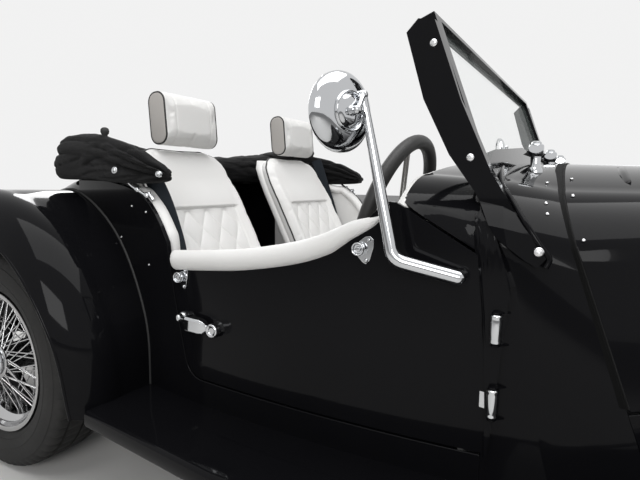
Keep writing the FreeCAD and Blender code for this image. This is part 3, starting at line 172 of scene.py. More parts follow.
def hide(name, colour, shade, roughness=0.42, grain_size=420.0):
    """Leather: pebbled grain, faint creases and slow drift of the colour."""
    leather = Finish(name, Specular_IOR_Level=0.4, Sheen_Weight=0.05)
    pebble = leather.cells(grain_size)
    fine = leather.noise(900.0, 2)
    drift = leather.noise(6.0, 4)
    crease = leather.node("MapRange", {}, leather.cells(38.0, "DISTANCE_TO_EDGE"), 0.0, 0.05, 0.0, 1.0)
    tone = leather.blend(drift, colour, shade)
    leather.set(Base_Color=leather.blend(0.1 * pebble, tone, tuple(c * 0.72 for c in shade)))
    leather.set(Roughness=roughness + 0.14 * leather.noise(20.0) + 0.05 * pebble)
    leather.bump(0.6 * pebble + 0.25 * fine + 0.12 * crease, 0.0007, 0.55)
    return leather.material


def woven(name, colour, light, pitch=700.0):
    """Double-texture hood cloth with a fine twill."""
    cloth = Finish(name, Sheen_Weight=0.06, Sheen_Roughness=0.5, Specular_IOR_Level=0.12)
    wave, cross = (cloth.bands(way, pitch, Distortion=0.4, Detail=1.0) for way in ("DIAGONAL", "X"))
    thread = 0.5 * wave + 0.5 * cross
    fade = cloth.noise(5.0, 5)
    cloth.set(Base_Color=cloth.blend(0.6 * thread * fade + 0.2 * fade, colour, light))
    cloth.set(Roughness=0.82 + 0.12 * fade)
    cloth.bump(thread, 0.0005, 0.6)
    return cloth.material


def moulded(name, colour, roughness=0.45):
    plastic = Finish(name)
    speck = plastic.noise(320.0)
    plastic.set(Base_Color=plastic.blend(speck, colour, tuple(c * 0.8 + 0.004 for c in colour)))
    plastic.set(Roughness=roughness + 0.12 * plastic.noise(14.0))
    plastic.bump(speck, 0.0003, 0.35)
    return plastic.material


def tyre_rubber():
    rubber = Finish("tyre rubber", Specular_IOR_Level=0.35)
    dust = rubber.noise(7.0, 6, 0.65)
    speck = rubber.noise(260.0)
    rubber.set(Base_Color=rubber.blend(dust ** 3, (0.008, 0.008, 0.008), (0.045, 0.043, 0.04)))
    rubber.set(Roughness=0.62 + 0.2 * speck)
    rubber.bump(speck, 0.0005, 0.5)
    return rubber.material


def clear_glass(name, tint, alpha):
    glass = Finish(name, IOR=1.45, Coat_Weight=0.6)
    film = glass.noise(5.0, 5)
    glass.set(Base_Color=glass.blend(film, tint, tuple(c * 0.9 for c in tint)))
    glass.set(Roughness=0.02 + 0.03 * film, Alpha=alpha + 0.05 * film)
    glass.bump(glass.noise(9.0, 2), 0.0001, 0.1)
    return glass.material


def silvered():
    mirror = Finish("mirror silver", Metallic=1.0)
    film = mirror.noise(18.0, 4)
    mirror.set(Base_Color=mirror.blend(film, (0.93, 0.94, 0.95), (0.88, 0.89, 0.9)))
    mirror.set(Roughness=0.015 + 0.02 * film)
    return mirror.material


def lamp_lens(name, colour):
    lens = Finish(name, IOR=1.49, Coat_Weight=0.8)
    ribs = lens.bands("Y", 90.0)
    lens.set(Base_Color=lens.blend(ribs, colour, tuple(c * 0.7 for c in colour)),
             Roughness=0.08 + 0.06 * ribs)
    lens.bump(ribs, 0.0008, 0.5)
    return lens.material


def carpet():
    pile = Finish("black carpet", Sheen_Weight=0.3, Specular_IOR_Level=0.1)
    tuft = pile.cells(520.0)
    pile.set(Base_Color=pile.blend(tuft * pile.noise(9.0), (0.01, 0.01, 0.011), (0.05, 0.05, 0.052)))
    pile.set(Roughness=0.9 + 0.08 * tuft)
    pile.bump(tuft, 0.002, 0.9)
    return pile.material


PAINT = gloss_paint("deep black gloss paint", (0.0035, 0.0035, 0.0042))
CHASSIS = moulded("chassis black", (0.016, 0.016, 0.017), 0.5)
CHROME = plated("polished chrome", (0.58, 0.59, 0.605), 0.045)
SPOKE_CHROME = plated("wheel chrome", (0.5, 0.5, 0.505), 0.12)
STEEL = satin_metal("brushed exhaust steel", (0.5, 0.49, 0.47), 0.3)
IRON = satin_metal("engine cast iron", (0.09, 0.09, 0.095), 0.55, 0.7)
CREAM = hide("white leather", (0.78, 0.775, 0.765), (0.72, 0.71, 0.69))
GREIGE = hide("stone grey leather", (0.5, 0.475, 0.45), (0.44, 0.42, 0.395), 0.5)
PIPING = hide("black piping leather", (0.012, 0.012, 0.012), (0.02, 0.019, 0.018), 0.45, 700.0)
GRIP = hide("black steering leather", (0.012, 0.012, 0.012), (0.022, 0.021, 0.02), 0.38, 520.0)
TRIM_BLACK = hide("black trim leather", (0.012, 0.012, 0.012), (0.02, 0.02, 0.019))
HOOD_CLOTH = woven("black hood cloth", (0.0012, 0.0012, 0.0014), (0.005, 0.005, 0.0055))
WEBBING = woven("dark belt webbing", (0.012, 0.015, 0.019), (0.034, 0.04, 0.048), 1100.0)
SEAM_TAPE = woven("black seam tape", (0.001, 0.001, 0.001), (0.004, 0.004, 0.004), 1100.0)
RUBBER = moulded("black rubber", (0.012, 0.012, 0.012), 0.65)
DARK = moulded("dark satin black", (0.006, 0.006, 0.006), 0.7)
TYRE = tyre_rubber()
SCREEN_GLASS = clear_glass("windscreen glass", (0.75, 0.86, 0.82), 0.1)
LAMP_GLASS = clear_glass("headlamp glass", (0.9, 0.93, 0.95), 0.25)
MIRROR = silvered()
AMBER = lamp_lens("amber lens", (0.75, 0.24, 0.02))
RED = lamp_lens("red lens", (0.5, 0.01, 0.01))
CARPET = carpet()
SILVER_SCREW = satin_metal("stainless screw", (0.8, 0.8, 0.81), 0.18)
CHROMED = {"material": CHROME, "slot": "chrome"}
SCREWS = {"material": SILVER_SCREW, "slot": "chrome"}
LEATHER = {"material": CREAM, "slot": "seat_leather"}
BLACK_TRIM = {"material": RUBBER, "slot": "trim_leather"}


def new_object(name, data):
    """New object that shows the data."""
    item = bpy.data.objects.new(name, data)
    bpy.context.scene.collection.objects.link(item)
    return item


class Form:
    """Mesh of one piece, gathered step by step before it becomes an object."""

    def __init__(self):
        self.mesh = bmesh.new()

    def weave(self, rows, ring=False, loop=False):
        """Faces between rows of points; ring closes each row, loop joins the last row to the first."""
        made = [[self.mesh.verts.new(point) for point in row] for row in rows]
        for low, high in list(zip(made, made[1:])) + ([(made[-1], made[0])] if loop else []):
            count = len(low) if ring else len(low) - 1
            for i in range(count):
                j = (i + 1) % len(low)
                corners = [low[i], low[j], high[j], high[i]]
                if len(set(corners)) == 4:
                    self.mesh.faces.new(corners)
        return made

    def grid(self, rows, **closing):
        self.weave(rows, **closing)
        return self

    def loft(self, rings):
        made = self.weave(rings, ring=True)
        self.mesh.faces.new(reversed(made[0]))
        self.mesh.faces.new(made[-1])
        return self

    def lathe(self, outline, at=(0, 0, 0), axis=(0, 1, 0), steps=48, closed=False, height=None):
        """Turn (radius, distance along the axis) pairs about the axis; height may move a point."""
        centre, along = Vector(at), Vector(axis).normalized()
        side = along.orthogonal().normalized()
        other = along.cross(side)
        rows = []
        for i in range(steps):
            turn = 2 * math.pi * i / steps
            out = side * math.cos(turn) + other * math.sin(turn)
            rows.append([centre + out * (r + (height(i, k) if height else 0)) + along * d
                         for k, (r, d) in enumerate(outline)])
        return self.grid(rows, ring=closed, loop=True)

    def tube(self, points, radius, sides=12, closed=False, flat=1.0, up=(0, 0, 1)):
        """Round bar along the points; radius may be one number or one for each point."""
        points = [Vector(point) for point in points]
        count = len(points)
        radii = radius if isinstance(radius, (list, tuple)) else [radius] * count
        lift = Vector(up)
        rings = []
        for i, point in enumerate(points):
            ahead = points[(i + 1) % count] if closed or i + 1 < count else point
            behind = points[i - 1] if closed or i else point
            run = (ahead - behind).normalized()
            side = run.cross(lift)
            if side.length < 1e-4:
                side = run.orthogonal()
            side.normalize()
            lift = side.cross(run).normalized()
            rings.append([point + (side * math.cos(a) + lift * math.sin(a) * flat) * radii[i]
                          for a in (2 * math.pi * k / sides for k in range(sides))])
        return self.grid(rings, ring=True, loop=True) if closed else self.loft(rings)

    def ball(self, at, radius, steps=20, squash=(1, 1, 1)):
        spread = Matrix.Translation(at) @ Matrix.Diagonal((*[radius * s for s in squash], 1))
        bmesh.ops.create_uvsphere(self.mesh, u_segments=steps, v_segments=steps // 2, radius=1, matrix=spread)
        return self

    def block(self, low, high):
        spread = Matrix.Translation((low + high) / 2) @ Matrix.Diagonal((*(high - low), 1))
        bmesh.ops.create_cube(self.mesh, size=1, matrix=spread)
        return self

    def plate(self, outline, push):
        """Flat sheet between an outline and the same outline moved by push."""
        return self.loft([outline, [point + Vector(push) for point in outline]])

    def mirrored(self):
        """Add the mirror image across the centre line."""
        copy = bmesh.ops.duplicate(self.mesh, geom=self.mesh.verts[:] + self.mesh.edges[:]
                                   + self.mesh.faces[:])
        verts = [item for item in copy["geom"] if isinstance(item, bmesh.types.BMVert)]
        faces = [item for item in copy["geom"] if isinstance(item, bmesh.types.BMFace)]
        for vert in verts:
            vert.co.y = -vert.co.y
        bmesh.ops.reverse_faces(self.mesh, faces=faces)
        return self

    def moved(self, matrix):
        self.mesh.transform(matrix)
        return self

    def piece(self, name, material, body="car", slot="body_paint", crease=35, wall=0, edge=0, smooth=0,
              replaces=(), within=None):
        """Object that rides on a body; a wall grows towards the point within, if one is given."""
        bmesh.ops.remove_doubles(self.mesh, verts=self.mesh.verts, dist=1e-6)
        bmesh.ops.recalc_face_normals(self.mesh, faces=self.mesh.faces)
        if within is not None:
            facing = sum((face.calc_center_median() - Vector(within)).dot(face.normal) * face.calc_area()
                         for face in self.mesh.faces)
            if facing < 0:
                bmesh.ops.reverse_faces(self.mesh, faces=self.mesh.faces)
        data = bpy.data.meshes.new(name)
        self.mesh.to_mesh(data)
        self.mesh.free()
        data.shade_smooth()
        data.set_sharp_from_angle(angle=math.radians(crease))
        item = new_object(name, data)
        data.materials.append(material)
        if wall:
            shell = item.modifiers.new("wall", "SOLIDIFY")
            shell.thickness = wall
            shell.offset = -1
            shell.use_quality_normals = True
        if edge:
            bevel = item.modifiers.new("edge", "BEVEL")
            bevel.width = edge
            bevel.segments = 3
            bevel.limit_method = "ANGLE"
            bevel.angle_limit = math.radians(crease)
            bevel.harden_normals = True
        if smooth:
            subdivide = item.modifiers.new("smooth", "SUBSURF")
            subdivide.levels = subdivide.render_levels = smooth
        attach(item, body)
        if replaces:
            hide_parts(*replaces)
        return item


def arc(start, middle, end, count=12):
    """Points on the circle through three points."""
    start, middle, end = Vector(start), Vector(middle), Vector(end)
    a, b = middle - start, end - start
    normal = a.cross(b)
    if normal.length < 1e-9:
        return [start.lerp(end, i / count) for i in range(count + 1)]
    centre = start + (b.length_squared * (a.dot(a) * b - a.dot(b) * a) + a.length_squared
                      * (b.dot(b) * a - a.dot(b) * b)) / (2 * normal.length_squared)
    out = start - centre
    across = normal.normalized().cross(out)
    sweep = math.atan2((end - centre).dot(across), (end - centre).dot(out))
    if sweep < 0:
        sweep += 2 * math.pi
    return [centre + out * math.cos(sweep * i / count) + across * math.sin(sweep * i / count)
            for i in range(count + 1)]


def spline(points, steps=8, closed=False):
    """Smooth curve through the points."""
    points = [Vector(point) for point in points]
    count = len(points)
    curve = []
    for i in range(count if closed else count - 1):
        p1, p2 = points[i], points[(i + 1) % count]
        p0 = points[i - 1] if closed or i else p1 + (p1 - p2)
        p3 = points[(i + 2) % count] if closed or i + 2 < count else p2 + (p2 - p1)
        for k in range(steps):
            t = k / steps
            curve.append(0.5 * (2 * p1 + (p2 - p0) * t + (2 * p0 - 5 * p1 + 4 * p2 - p3) * t * t
                                + (3 * p1 - p0 - 3 * p2 + p3) * t ** 3))
    if not closed:
        curve.append(points[-1])
    return curve


def run_at(line, i):
    """Way from the point before the i-th one of a line to the point after it."""
    return line[min(i + 1, len(line) - 1)] - line[max(i - 1, 0)]


def place_on(run, want):
    """Stretch of a line of running lengths that a length falls in, and its share of that stretch."""
    i = min(max(j for j in range(len(run)) if run[j] <= want + 1e-9), len(run) - 2)
    step = run[i + 1] - run[i]
    return i, (want - run[i]) / step if step else 0


def tub_y(x):
    """Half width of the body in plan."""
    front_x = seam_point_x(SIDE_FOOT_Z)
    if x > front_x:
        share = min(1.0, (x - front_x) / (NOSE_X - front_x))
        return tub_y(front_x) + share * (NOSE_HALF_WIDTH - tub_y(front_x))
    bend_x = max(x, -1.1)
    run = bend_x - TUB_WIDEST_X
    root = math.sqrt(TUB_SIDE_RADIUS ** 2 - run ** 2)
    return TUB_HALF_WIDTH - TUB_SIDE_RADIUS + root + (x - bend_x) * -run / root


def seam_point_x(z):
    return SEAM_X + SEAM_SLANT * (COWL_TOP_Z - z)


def section(x, slant, top_z, shoulder, corner, foot_y):
    """Half outline of the scuttle or bonnet at a station: shoulder and corner are (y, z)."""
    return {"x": x, "slant": slant, "top_z": top_z, "shoulder": shoulder, "corner": corner, "foot_y": foot_y}


SEAM = section(SEAM_X, SEAM_SLANT, COWL_TOP_Z, (0.45, 0.829), (0.592, 0.735),
               tub_y(seam_point_x(SIDE_FOOT_Z)))
SCUTTLE_MID = section(SEAM_X - 0.075, 0.216, COWL_TOP_Z + 0.001, (0.466, 0.846), (0.626, 0.76),
                      tub_y(SEAM_X + 0.022))
DASH = section(0.045, 0.0, COWL_TOP_Z + 0.001, (0.48, 0.858), (0.641, 0.792), tub_y(0.045))
NOSE = section(NOSE_X, 0.1, 0.85, (0.185, 0.822), (0.248, 0.758), NOSE_HALF_WIDTH - 0.006)
FACE = section(NOSE_X + 0.1, 0.22, 0.836, (0.16, 0.804), (0.224, 0.738), NOSE_HALF_WIDTH - 0.03)


def section_line(station, low_z, shift=0.0, side=1, inset=0.0, start_y=0.0):
    """Points from the centre line over the shoulder and down to low_z."""
    shoulder_y, shoulder_z = station["shoulder"]
    corner_y, corner_z = station["corner"]
    top_z = station["top_z"]
    share = (corner_z - low_z) / (corner_z - SIDE_FOOT_Z)
    foot_y = corner_y + share * (station["foot_y"] - corner_y) - inset
    crown = (shoulder_y / 2 - inset * 0.1, top_z - 0.22 * (top_z - shoulder_z) - inset)
    bend = (shoulder_y + 0.62 * (corner_y - shoulder_y) - inset * 0.7,
            shoulder_z - 0.36 * (shoulder_z - corner_z) - inset * 0.75)
    top = (start_y, top_z - inset)
    shoulder = (shoulder_y - inset * 0.35, shoulder_z - inset * 0.92)
    corner = (corner_y - inset * 0.99, corner_z - inset * 0.3)

    def at(y, z):
        return Vector((station["x"] + shift + station["slant"] * (top_z - z), side * y, z))

    line = arc(at(*top), at(*crown), at(*shoulder), 18)[:-1]
    line += arc(at(*shoulder), at(*bend), at(*corner), 12)[:-1]
    return line + [at(*corner).lerp(at(foot_y, low_z), i / 10) for i in range(11)]


def side_y(station, z):
    """Half width of a station's side line."""
    corner_y, corner_z = station["corner"]
    return corner_y + (corner_z - z) / (corner_z - SIDE_FOOT_Z) * (station["foot_y"] - corner_y)


def body_y(x, z):
    """Half width of the body at a place on its side, ahead of the seam too."""
    seam_at, nose_at = seam_point_x(z), NOSE_X + NOSE["slant"] * (NOSE["top_z"] - z)
    if x < seam_at or z < SIDE_FOOT_Z:
        return tub_y(min(x, NOSE_X))
    share = (x - seam_at) / (nose_at - seam_at)
    if share < 1:
        return side_y(SEAM, z) + share * (side_y(NOSE, z) - side_y(SEAM, z))
    share = min(1.0, (x - nose_at) / 0.1)
    return side_y(NOSE, z) + share * (side_y(FACE, z) - side_y(NOSE, z))


def between(first, last, share):
    return {key: (tuple(a + share * (b - a) for a, b in zip(first[key], last[key]))
                  if isinstance(first[key], tuple) else first[key] + share * (last[key] - first[key]))
            for key in first}


def profile(points, x):
    """Height of a line of (x, z) points at x."""
    for (x0, z0), (x1, z1) in zip(points, points[1:]):
        if min(x0, x1) <= x <= max(x0, x1) and x0 != x1:
            return z0 + (x - x0) * (z1 - z0) / (x1 - x0)
    return points[0][1] if abs(x - points[0][0]) < abs(x - points[-1][0]) else points[-1][1]


def side_panel(low, high, step=0.012, rows=14, out=0.0):
    """Sheet on the body's curved side between two lines of (x, z) points, right side."""
    start = max(min(x for x, _ in low), min(x for x, _ in high))
    stop = min(max(x for x, _ in low), max(x for x, _ in high))
    places = {start, stop} | {x for x, _ in low + high if start < x < stop}
    count = int((stop - start) / step)
    places |= {start + (stop - start) * i / count for i in range(count)}
    columns = sorted(places)
    columns = [x for i, x in enumerate(columns) if i == 0 or x - columns[i - 1] > 0.0008 or x == stop]
    sheet = []
    for x in columns:
        bottom, top = profile(low, x), profile(high, x)
        if top - bottom < 0.002:
            continue
        y = -(tub_y(x) + out)
        sheet.append([(x, y, bottom + (top - bottom) * k / rows) for k in range(rows + 1)])
    return sheet


def both(name, build, body="car", material=PAINT, node=None, **options):
    """Build a right-hand piece and its mirror image; node is one that the pair replaces together."""
    made = []
    for side, sign in SIDES:
        form = build()
        if sign > 0:
            form.moved(Matrix.Diagonal((1, -1, 1, 1)))
        own = dict(options)
        if "replaces" in own:
            own["replaces"] = tuple(replaced.format(side=side) for replaced in own["replaces"])
        made.append(form.piece(f"{name}_{side}", material, body.format(side=side), **own))
    if node:
        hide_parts(node)
    return made


# Wheels
def tyre_form():
    """Tyre with three round grooves, cross sipes on the shoulders and ribs on the wall."""
    half_outline = [(0.2075, 0.0705), (0.214, 0.077), (0.224, 0.083), (0.2262, 0.0835), (0.228, 0.0865),
                    (0.24, 0.0905), (0.252, 0.0935), (0.2535, 0.0925), (0.264, 0.0932), (0.276, 0.092),
                    (0.288, 0.0888), (0.2895, 0.0868), (0.3, 0.0835), (0.308, 0.0775), (0.3128, 0.069),
                    (0.314, 0.056), (0.3142, 0.0515), (0.307, 0.05), (0.307, 0.043), (0.3146, 0.0415),
                    (0.3149, 0.01), (0.3149, 0.004), (0.3072, 0.0032)]
    outline = half_outline + [(r, -d) for r, d in reversed(half_outline)]
    last = len(outline) - 1

    def sipe(i, k):
        row = min(k, last - k)
        if i % 4 == 0 and 12 <= row <= 16:
            return -0.0045
        if i % 4 == 2 and 19 <= row <= 20:
            return -0.004
        return 0.0
    return outline, sipe


def wheel_pieces(tag, centre, axis, body, node_wheel, node_tyre, squeeze=1.0):
    """Laced wire wheel with its knock-off cap, and its tyre; squeeze narrows a spare."""
    axis = Vector(axis).normalized()
    turn = Vector((0, 1, 0)).rotation_difference(axis).to_matrix().to_4x4()
    place = Matrix.Translation(centre) @ turn @ Matrix.Diagonal((1, squeeze, 1, 1))
    rim = Form()
    half = [(0.207, 0.0788), (0.2078, 0.0765), (0.206, 0.073), (0.199, 0.0715), (0.196, 0.069),
            (0.1935, 0.06), (0.188, 0.052), (0.179, 0.048), (0.174, 0.044)]
    inner = [(0.17, 0.0455), (0.176, 0.05), (0.184, 0.0545), (0.19, 0.064), (0.1925, 0.073),
             (0.195, 0.0772), (0.203, 0.079)]
    ring = half + [(r, -d) for r, d in reversed(half)] + [(r, -d) for r, d in inner[::-1]] + inner
    rim.lathe(ring, steps=96, closed=True)
    rim.lathe([(0.0205, -0.046), (0.06, -0.046), (0.06, -0.036), (0.047, -0.03), (0.041, 0.01),
               (0.042, 0.06), (0.049, 0.066), (0.051, 0.076), (0.044, 0.08), (0.036, 0.082),
               (0.0345, 0.094), (0.031, 0.1), (0.0205, 0.1)], closed=True)
    rim.moved(place).piece(f"wheel_rim_and_hub_{tag}", SPOKE_CHROME, body, "wheel_metal", crease=30,
                           replaces=(node_wheel,))
    laces = Form()
    for i in range(72):
        row = i % 3
        turn_hub = 2 * math.pi * i / 72
        lean = math.radians((34, -34)[i % 2] if row < 2 else (20, -20)[i % 2])
        hub_y, rim_y = ((0.072, 0.026), (0.072, -0.004), (-0.04, -0.022))[row]
        start = Vector((0.045 * math.sin(turn_hub), hub_y, 0.045 * math.cos(turn_hub)))
        end = Vector((0.174 * math.sin(turn_hub + lean), rim_y, 0.174 * math.cos(turn_hub + lean)))
        laces.tube([start, start.lerp(end, 0.5), start.lerp(end, 0.93)], 0.0021, sides=8)
        laces.tube([start.lerp(end, 0.92), end], 0.0034, sides=6)
    laces.moved(place).piece(f"wheel_spokes_{tag}", SPOKE_CHROME, body, "wheel_metal", crease=50)
    cap = Form().lathe([(0.0, 0.113), (0.01, 0.1125), (0.019, 0.11), (0.026, 0.105), (0.03, 0.099),
                        (0.036, 0.097), (0.044, 0.094), (0.0465, 0.088), (0.044, 0.083), (0.036, 0.0815)])
    cap.moved(place).piece(f"wheel_cap_{tag}", CHROME, body, "wheel_metal", crease=40)
    outline, sipe = tyre_form()
    tyre = Form().lathe(outline, steps=240, height=sipe)
    tyre.moved(place).piece(f"road_tyre_{tag}", TYRE, body, "tyre", crease=28, replaces=(node_tyre,))


for side, sign in SIDES:
    for end, x, y in (("front", FRONT_AXLE_X, 0.635), ("rear", REAR_AXLE_X, 0.69)):
        wheel_pieces(f"{end}_{side}", (x, sign * y, AXLE_Z), (0, sign, 0), f"wheel_{end}_{side}",
                     f"wire_wheel_{end}_{side}", f"tyre_{end}_{side}")


# Wings
FRONT_WING = (
    # run from the axle, height, way inward in degrees, root y, root drop, crown y, outer y, lip
    (0.500, 0.352, 188, 0.400, 0.006, 0.590, 0.752, 0.040),
    (0.470, 0.500, 204, 0.372, 0.016, 0.610, 0.802, 0.058),
    (0.372, 0.640, 226, 0.200, 0.092, 0.650, 0.840, 0.066),
    (0.222, 0.722, 248, 0.200, 0.166, 0.680, 0.855, 0.070),
    (0.040, 0.750, 269, 0.200, 0.204, 0.692, 0.860, 0.072),
    (-0.160, 0.728, 286, 0.200, 0.204, 0.692, 0.860, 0.072),
    (-0.360, 0.646, 299, 0.200, 0.164, 0.696, 0.860, 0.072),
    (-0.580, 0.522, 300, 0.300, 0.096, 0.700, 0.860, 0.068),
    (-0.780, 0.412, 294, 0.400, 0.050, 0.706, 0.860, 0.058),
    (-0.940, 0.342, 270, 0.400, 0.0417, 0.712, 0.860, 0.0497),
    (-1.035, 0.304, 270, 0.400, 0.0037, 0.712, 0.860, 0.0117),
)
REAR_WING_ARC = (
    # angle round the axle, crown radius, root drop, crown y, outer y
    (-7, 0.466, 0.004, 0.700, 0.822),
    (20, 0.474, 0.006, 0.712, 0.845),
    (50, 0.486, 0.008, 0.722, 0.858),
    (82, 0.490, 0.008, 0.726, 0.860),
    (112, 0.500, 0.010, 0.722, 0.860),
    (138, 0.530, 0.014, 0.712, 0.856),
    (160, 0.566, 0.016, 0.700, 0.846),
    (178, 0.588, 0.016, 0.690, 0.830),
    (190, 0.596, 0.016, 0.680, 0.812),
)
WING_FACES = 26


def rear_wing_stations():
    root_y = tub_y(REAR_AXLE_X - 0.4) - 0.12
    for angle, radius, root_drop, crown_y, outer_y in REAR_WING_ARC:
        turn = math.radians(angle)
        lip = max(radius - 0.42, 0.04) if angle < 120 else 0.08
        yield (radius * math.cos(turn), AXLE_Z + radius * math.sin(turn), angle + 180, root_y, root_drop,
               crown_y, outer_y, lip)


def wing_rows(axle_x, stations):
    """Smooth rows over the wing from its root at the body to the lip."""
    rows = []
    for run, height, inward, root_y, root_drop, crown_y, outer_y, lip in spline(stations):
        base = Vector((axle_x + run, 0, height))
        into = Vector((math.cos(math.radians(inward)), 0, math.sin(math.radians(inward))))

        def at(y, depth):
            return base + into * depth + Vector((0, y, 0))

        rise_y = root_y + 0.55 * (crown_y - root_y)
        line = arc(at(root_y, root_drop), at(rise_y, 0.3 * root_drop), at(crown_y, 0), 30)
        turn_y = crown_y + 0.74 * (outer_y - crown_y)
        line += arc(at(crown_y, 0), at(turn_y, 0.3 * lip), at(outer_y, lip), 16)[1:]
        wall = [body_y(point.x, point.z) - 0.004 for point in line]
        first = next(i for i, point in enumerate(line) if point.y > wall[i])
        if first:
            out, back = line[first], line[first - 1]
            share = (wall[first] - back.y) / (out.y - back.y)
            line = [back.lerp(out, share)] + line[first:]
        lengths = [0.0]
        for a, b in zip(line, line[1:]):
            lengths.append(lengths[-1] + (b - a).length)
        row = []
        for k in range(WING_FACES + 1):
            i, share = place_on(lengths, lengths[-1] * k / WING_FACES)
            row.append(line[i].lerp(line[i + 1], share))
        rows.append(row)
    return rows


def wing_pieces(tag, axle_x, stations):
    rows = wing_rows(axle_x, stations)
    for side, sign in SIDES:
        own = [[Vector((p.x, sign * p.y, p.z)) for p in row] for row in rows]
        sheet = Form().grid(own)
        sheet.piece(f"{tag}_wing_panel_{side}", PAINT, wall=0.006, edge=0.002, crease=50,
                    replaces=(f"{tag}_wing_{side}",))
        lip = Form().tube([row[-1] + Vector((0, -sign * 0.004, -0.001)) for row in own], 0.0052, sides=10)
        lip.piece(f"{tag}_wing_bead_{side}", PAINT, crease=60)
        root = Form().tube([row[0] + Vector((0, sign * 0.004, 0.003)) for row in own], 0.0038, sides=8)
        root.piece(f"{tag}_wing_piping_{side}", RUBBER, crease=60)


wing_pieces("front", FRONT_AXLE_X, FRONT_WING)
wing_pieces("rear", REAR_AXLE_X, list(rear_wing_stations()))


# Body panels
DOOR_TOP = [(p.x, p.z) for p in spline(((-0.571, 0, 0.664), (-0.43, 0, 0.677), (-0.304, 0, 0.692),
                                        (-0.16, 0, 0.722), (-0.06, 0, 0.762), (-0.005, 0, 0.792),
                                        (0.033, 0, 0.803), (0.08, 0, 0.778), (0.144, 0, 0.74),
                                        (0.195, 0, 0.71), (0.224, 0, 0.69), (0.237, 0, 0.664)), 6)]
DOOR_BOTTOM = [(-0.571, 0.664), (-0.556, 0.595), (-0.542, 0.529), (-0.525, 0.462), (-0.509, 0.4),
               (-0.502, 0.383), (-0.491, 0.37), (-0.476, 0.361), (-0.459, 0.358), (0.212, 0.358),
               (0.216, 0.405), (0.237, 0.664)]
GAP = 0.005


def door_skin():
    top = [(x, z - 0.024 * max(0.0, min(1.0, (0.012 - x) / 0.04))) for x, z in DOOR_TOP]
    return Form().grid(side_panel(DOOR_BOTTOM, top, step=0.01, rows=16))


both("door_skin", door_skin, body="door_{side}", wall=0.012, edge=0.0025, crease=60, within=(-0.2, 0, 0.5),
     replaces=("door_{side}",))


def door_lining():
    """Padded card inside the door."""
    low = [(x + 0.004, z + 0.004) for x, z in DOOR_BOTTOM[:-3]]
    low += [(0.158, 0.362), (0.162, 0.409), (0.176, 0.65)]
    high = [(x, z - 0.034) for x, z in DOOR_TOP if -0.566 < x < 0.172]
    high = [(-0.567, 0.63)] + high + [(0.1761, 0.672)]
    return Form().grid(side_panel(low, high, step=0.014, rows=12, out=-0.0125))


both("door_lining", door_lining, body="door_{side}", material=TRIM_BLACK, slot="grip_leather", wall=0.034,
     edge=0.003, crease=60, within=(-0.2, 0, 0.5))

QUARTER_TOP = [(-1.05, 0.836), (-0.96, 0.836), (-0.86, 0.835), (-0.77, 0.823), (-0.69, 0.805),
               (-0.65, 0.778), (-0.628, 0.756), (-0.602, 0.722), (-0.5785, 0.684), (-0.576, 0.664),
               (-0.547, 0.529), (-0.514, 0.4), (-0.506, 0.38), (-0.495, 0.366), (-0.478, 0.356),
               (-0.459, 0.353), (0.206, 0.353)]
QUARTER_BOTTOM = [(-1.05, 0.235), (0.206, 0.235)]


def quarter_skin():
    return Form().grid(side_panel(QUARTER_BOTTOM, QUARTER_TOP, step=0.01, rows=24))


both("quarter_and_sill", quarter_skin, wall=0.012, edge=0.0025, crease=60, within=(-0.4, 0, 0.5),
     replaces=("body_side_{side}",))


SCUTTLE_LINES = {}


def scuttle_point(u, v):
    """Point of the scuttle's surface: u runs from the dash to the seam, v from the top to the foot."""
    split = 0.55
    station = between(DASH, SCUTTLE_MID, u / split) if u < split else between(
        SCUTTLE_MID, SEAM, (u - split) / (1 - split))
    line = SCUTTLE_LINES.setdefault(round(u, 5), section_line(station, 0.235, side=-1))
    place = min(v, 1) * (len(line) - 1)
    i = min(int(place), len(line) - 2)
    return line[i].lerp(line[i + 1], place - i)


def scuttle_place(x, z):
    """The u and v of a point of the scuttle's side."""
    def solve(low, high, too_small):
        for _ in range(26):
            middle = (low + high) / 2
            low, high = (middle, high) if too_small(middle) else (low, middle)
        return (low + high) / 2

    v = 0.8
    u = 0.5
    for _ in range(14):
        v = solve(0.2, 1.0, lambda t: scuttle_point(u, t).z > z)
        u = solve(0.0, 1.0, lambda t: scuttle_point(t, v).x < x)
    return u, v


def scuttle_skin():
    edge = [(x, z + GAP) for x, z in DOOR_TOP if 0.045 < x < 0.236]
    edge = [(0.045, edge[0][1] + 0.001)] + edge
    edge += [(0.2425, 0.668), (0.234, 0.56), (0.226, 0.46), (0.2175, 0.356), (0.206, 0.353), (0.206, 0.3),
             (0.206, 0.236), (0.28, 0.2355), (0.36, 0.2355), (0.44, 0.2355), (0.511, 0.2355)]
    places = [scuttle_place(x, z) for x, z in edge]
    run = [0.0]
    for (x0, z0), (x1, z1) in zip(edge, edge[1:]):
        run.append(run[-1] + math.hypot(x1 - x0, z1 - z0))
    rows = []
    for mark in sorted({r / run[-1] for r in run} | {i / 60 for i in range(61)}):
        i, share = place_on(run, mark * run[-1])
        u1, v1 = (a + share * (b - a) for a, b in zip(places[i], places[i + 1]))
        rows.append([scuttle_point(mark + (u1 - mark) * (k / 40) ** 2, v1 * k / 40) for k in range(41)])
    return Form().grid(rows)


both("scuttle_skin", scuttle_skin, wall=0.008, edge=0.002, crease=60, within=(0.3, 0, 0.4))


def bulkhead():
    """Upright sheet between the cabin and the engine."""
    line = [Vector((0.345, p.y, p.z)) for p in section_line(SEAM, 0.24, inset=0.032)]
    full = line + [Vector((p.x, -p.y, p.z)) for p in reversed(line[1:])]
    return Form().plate(full, (0.012, 0, 0))


bulkhead().piece("bulkhead", CHASSIS, slot="chassis_paint", crease=30, edge=0.002, replaces=("scuttle",))


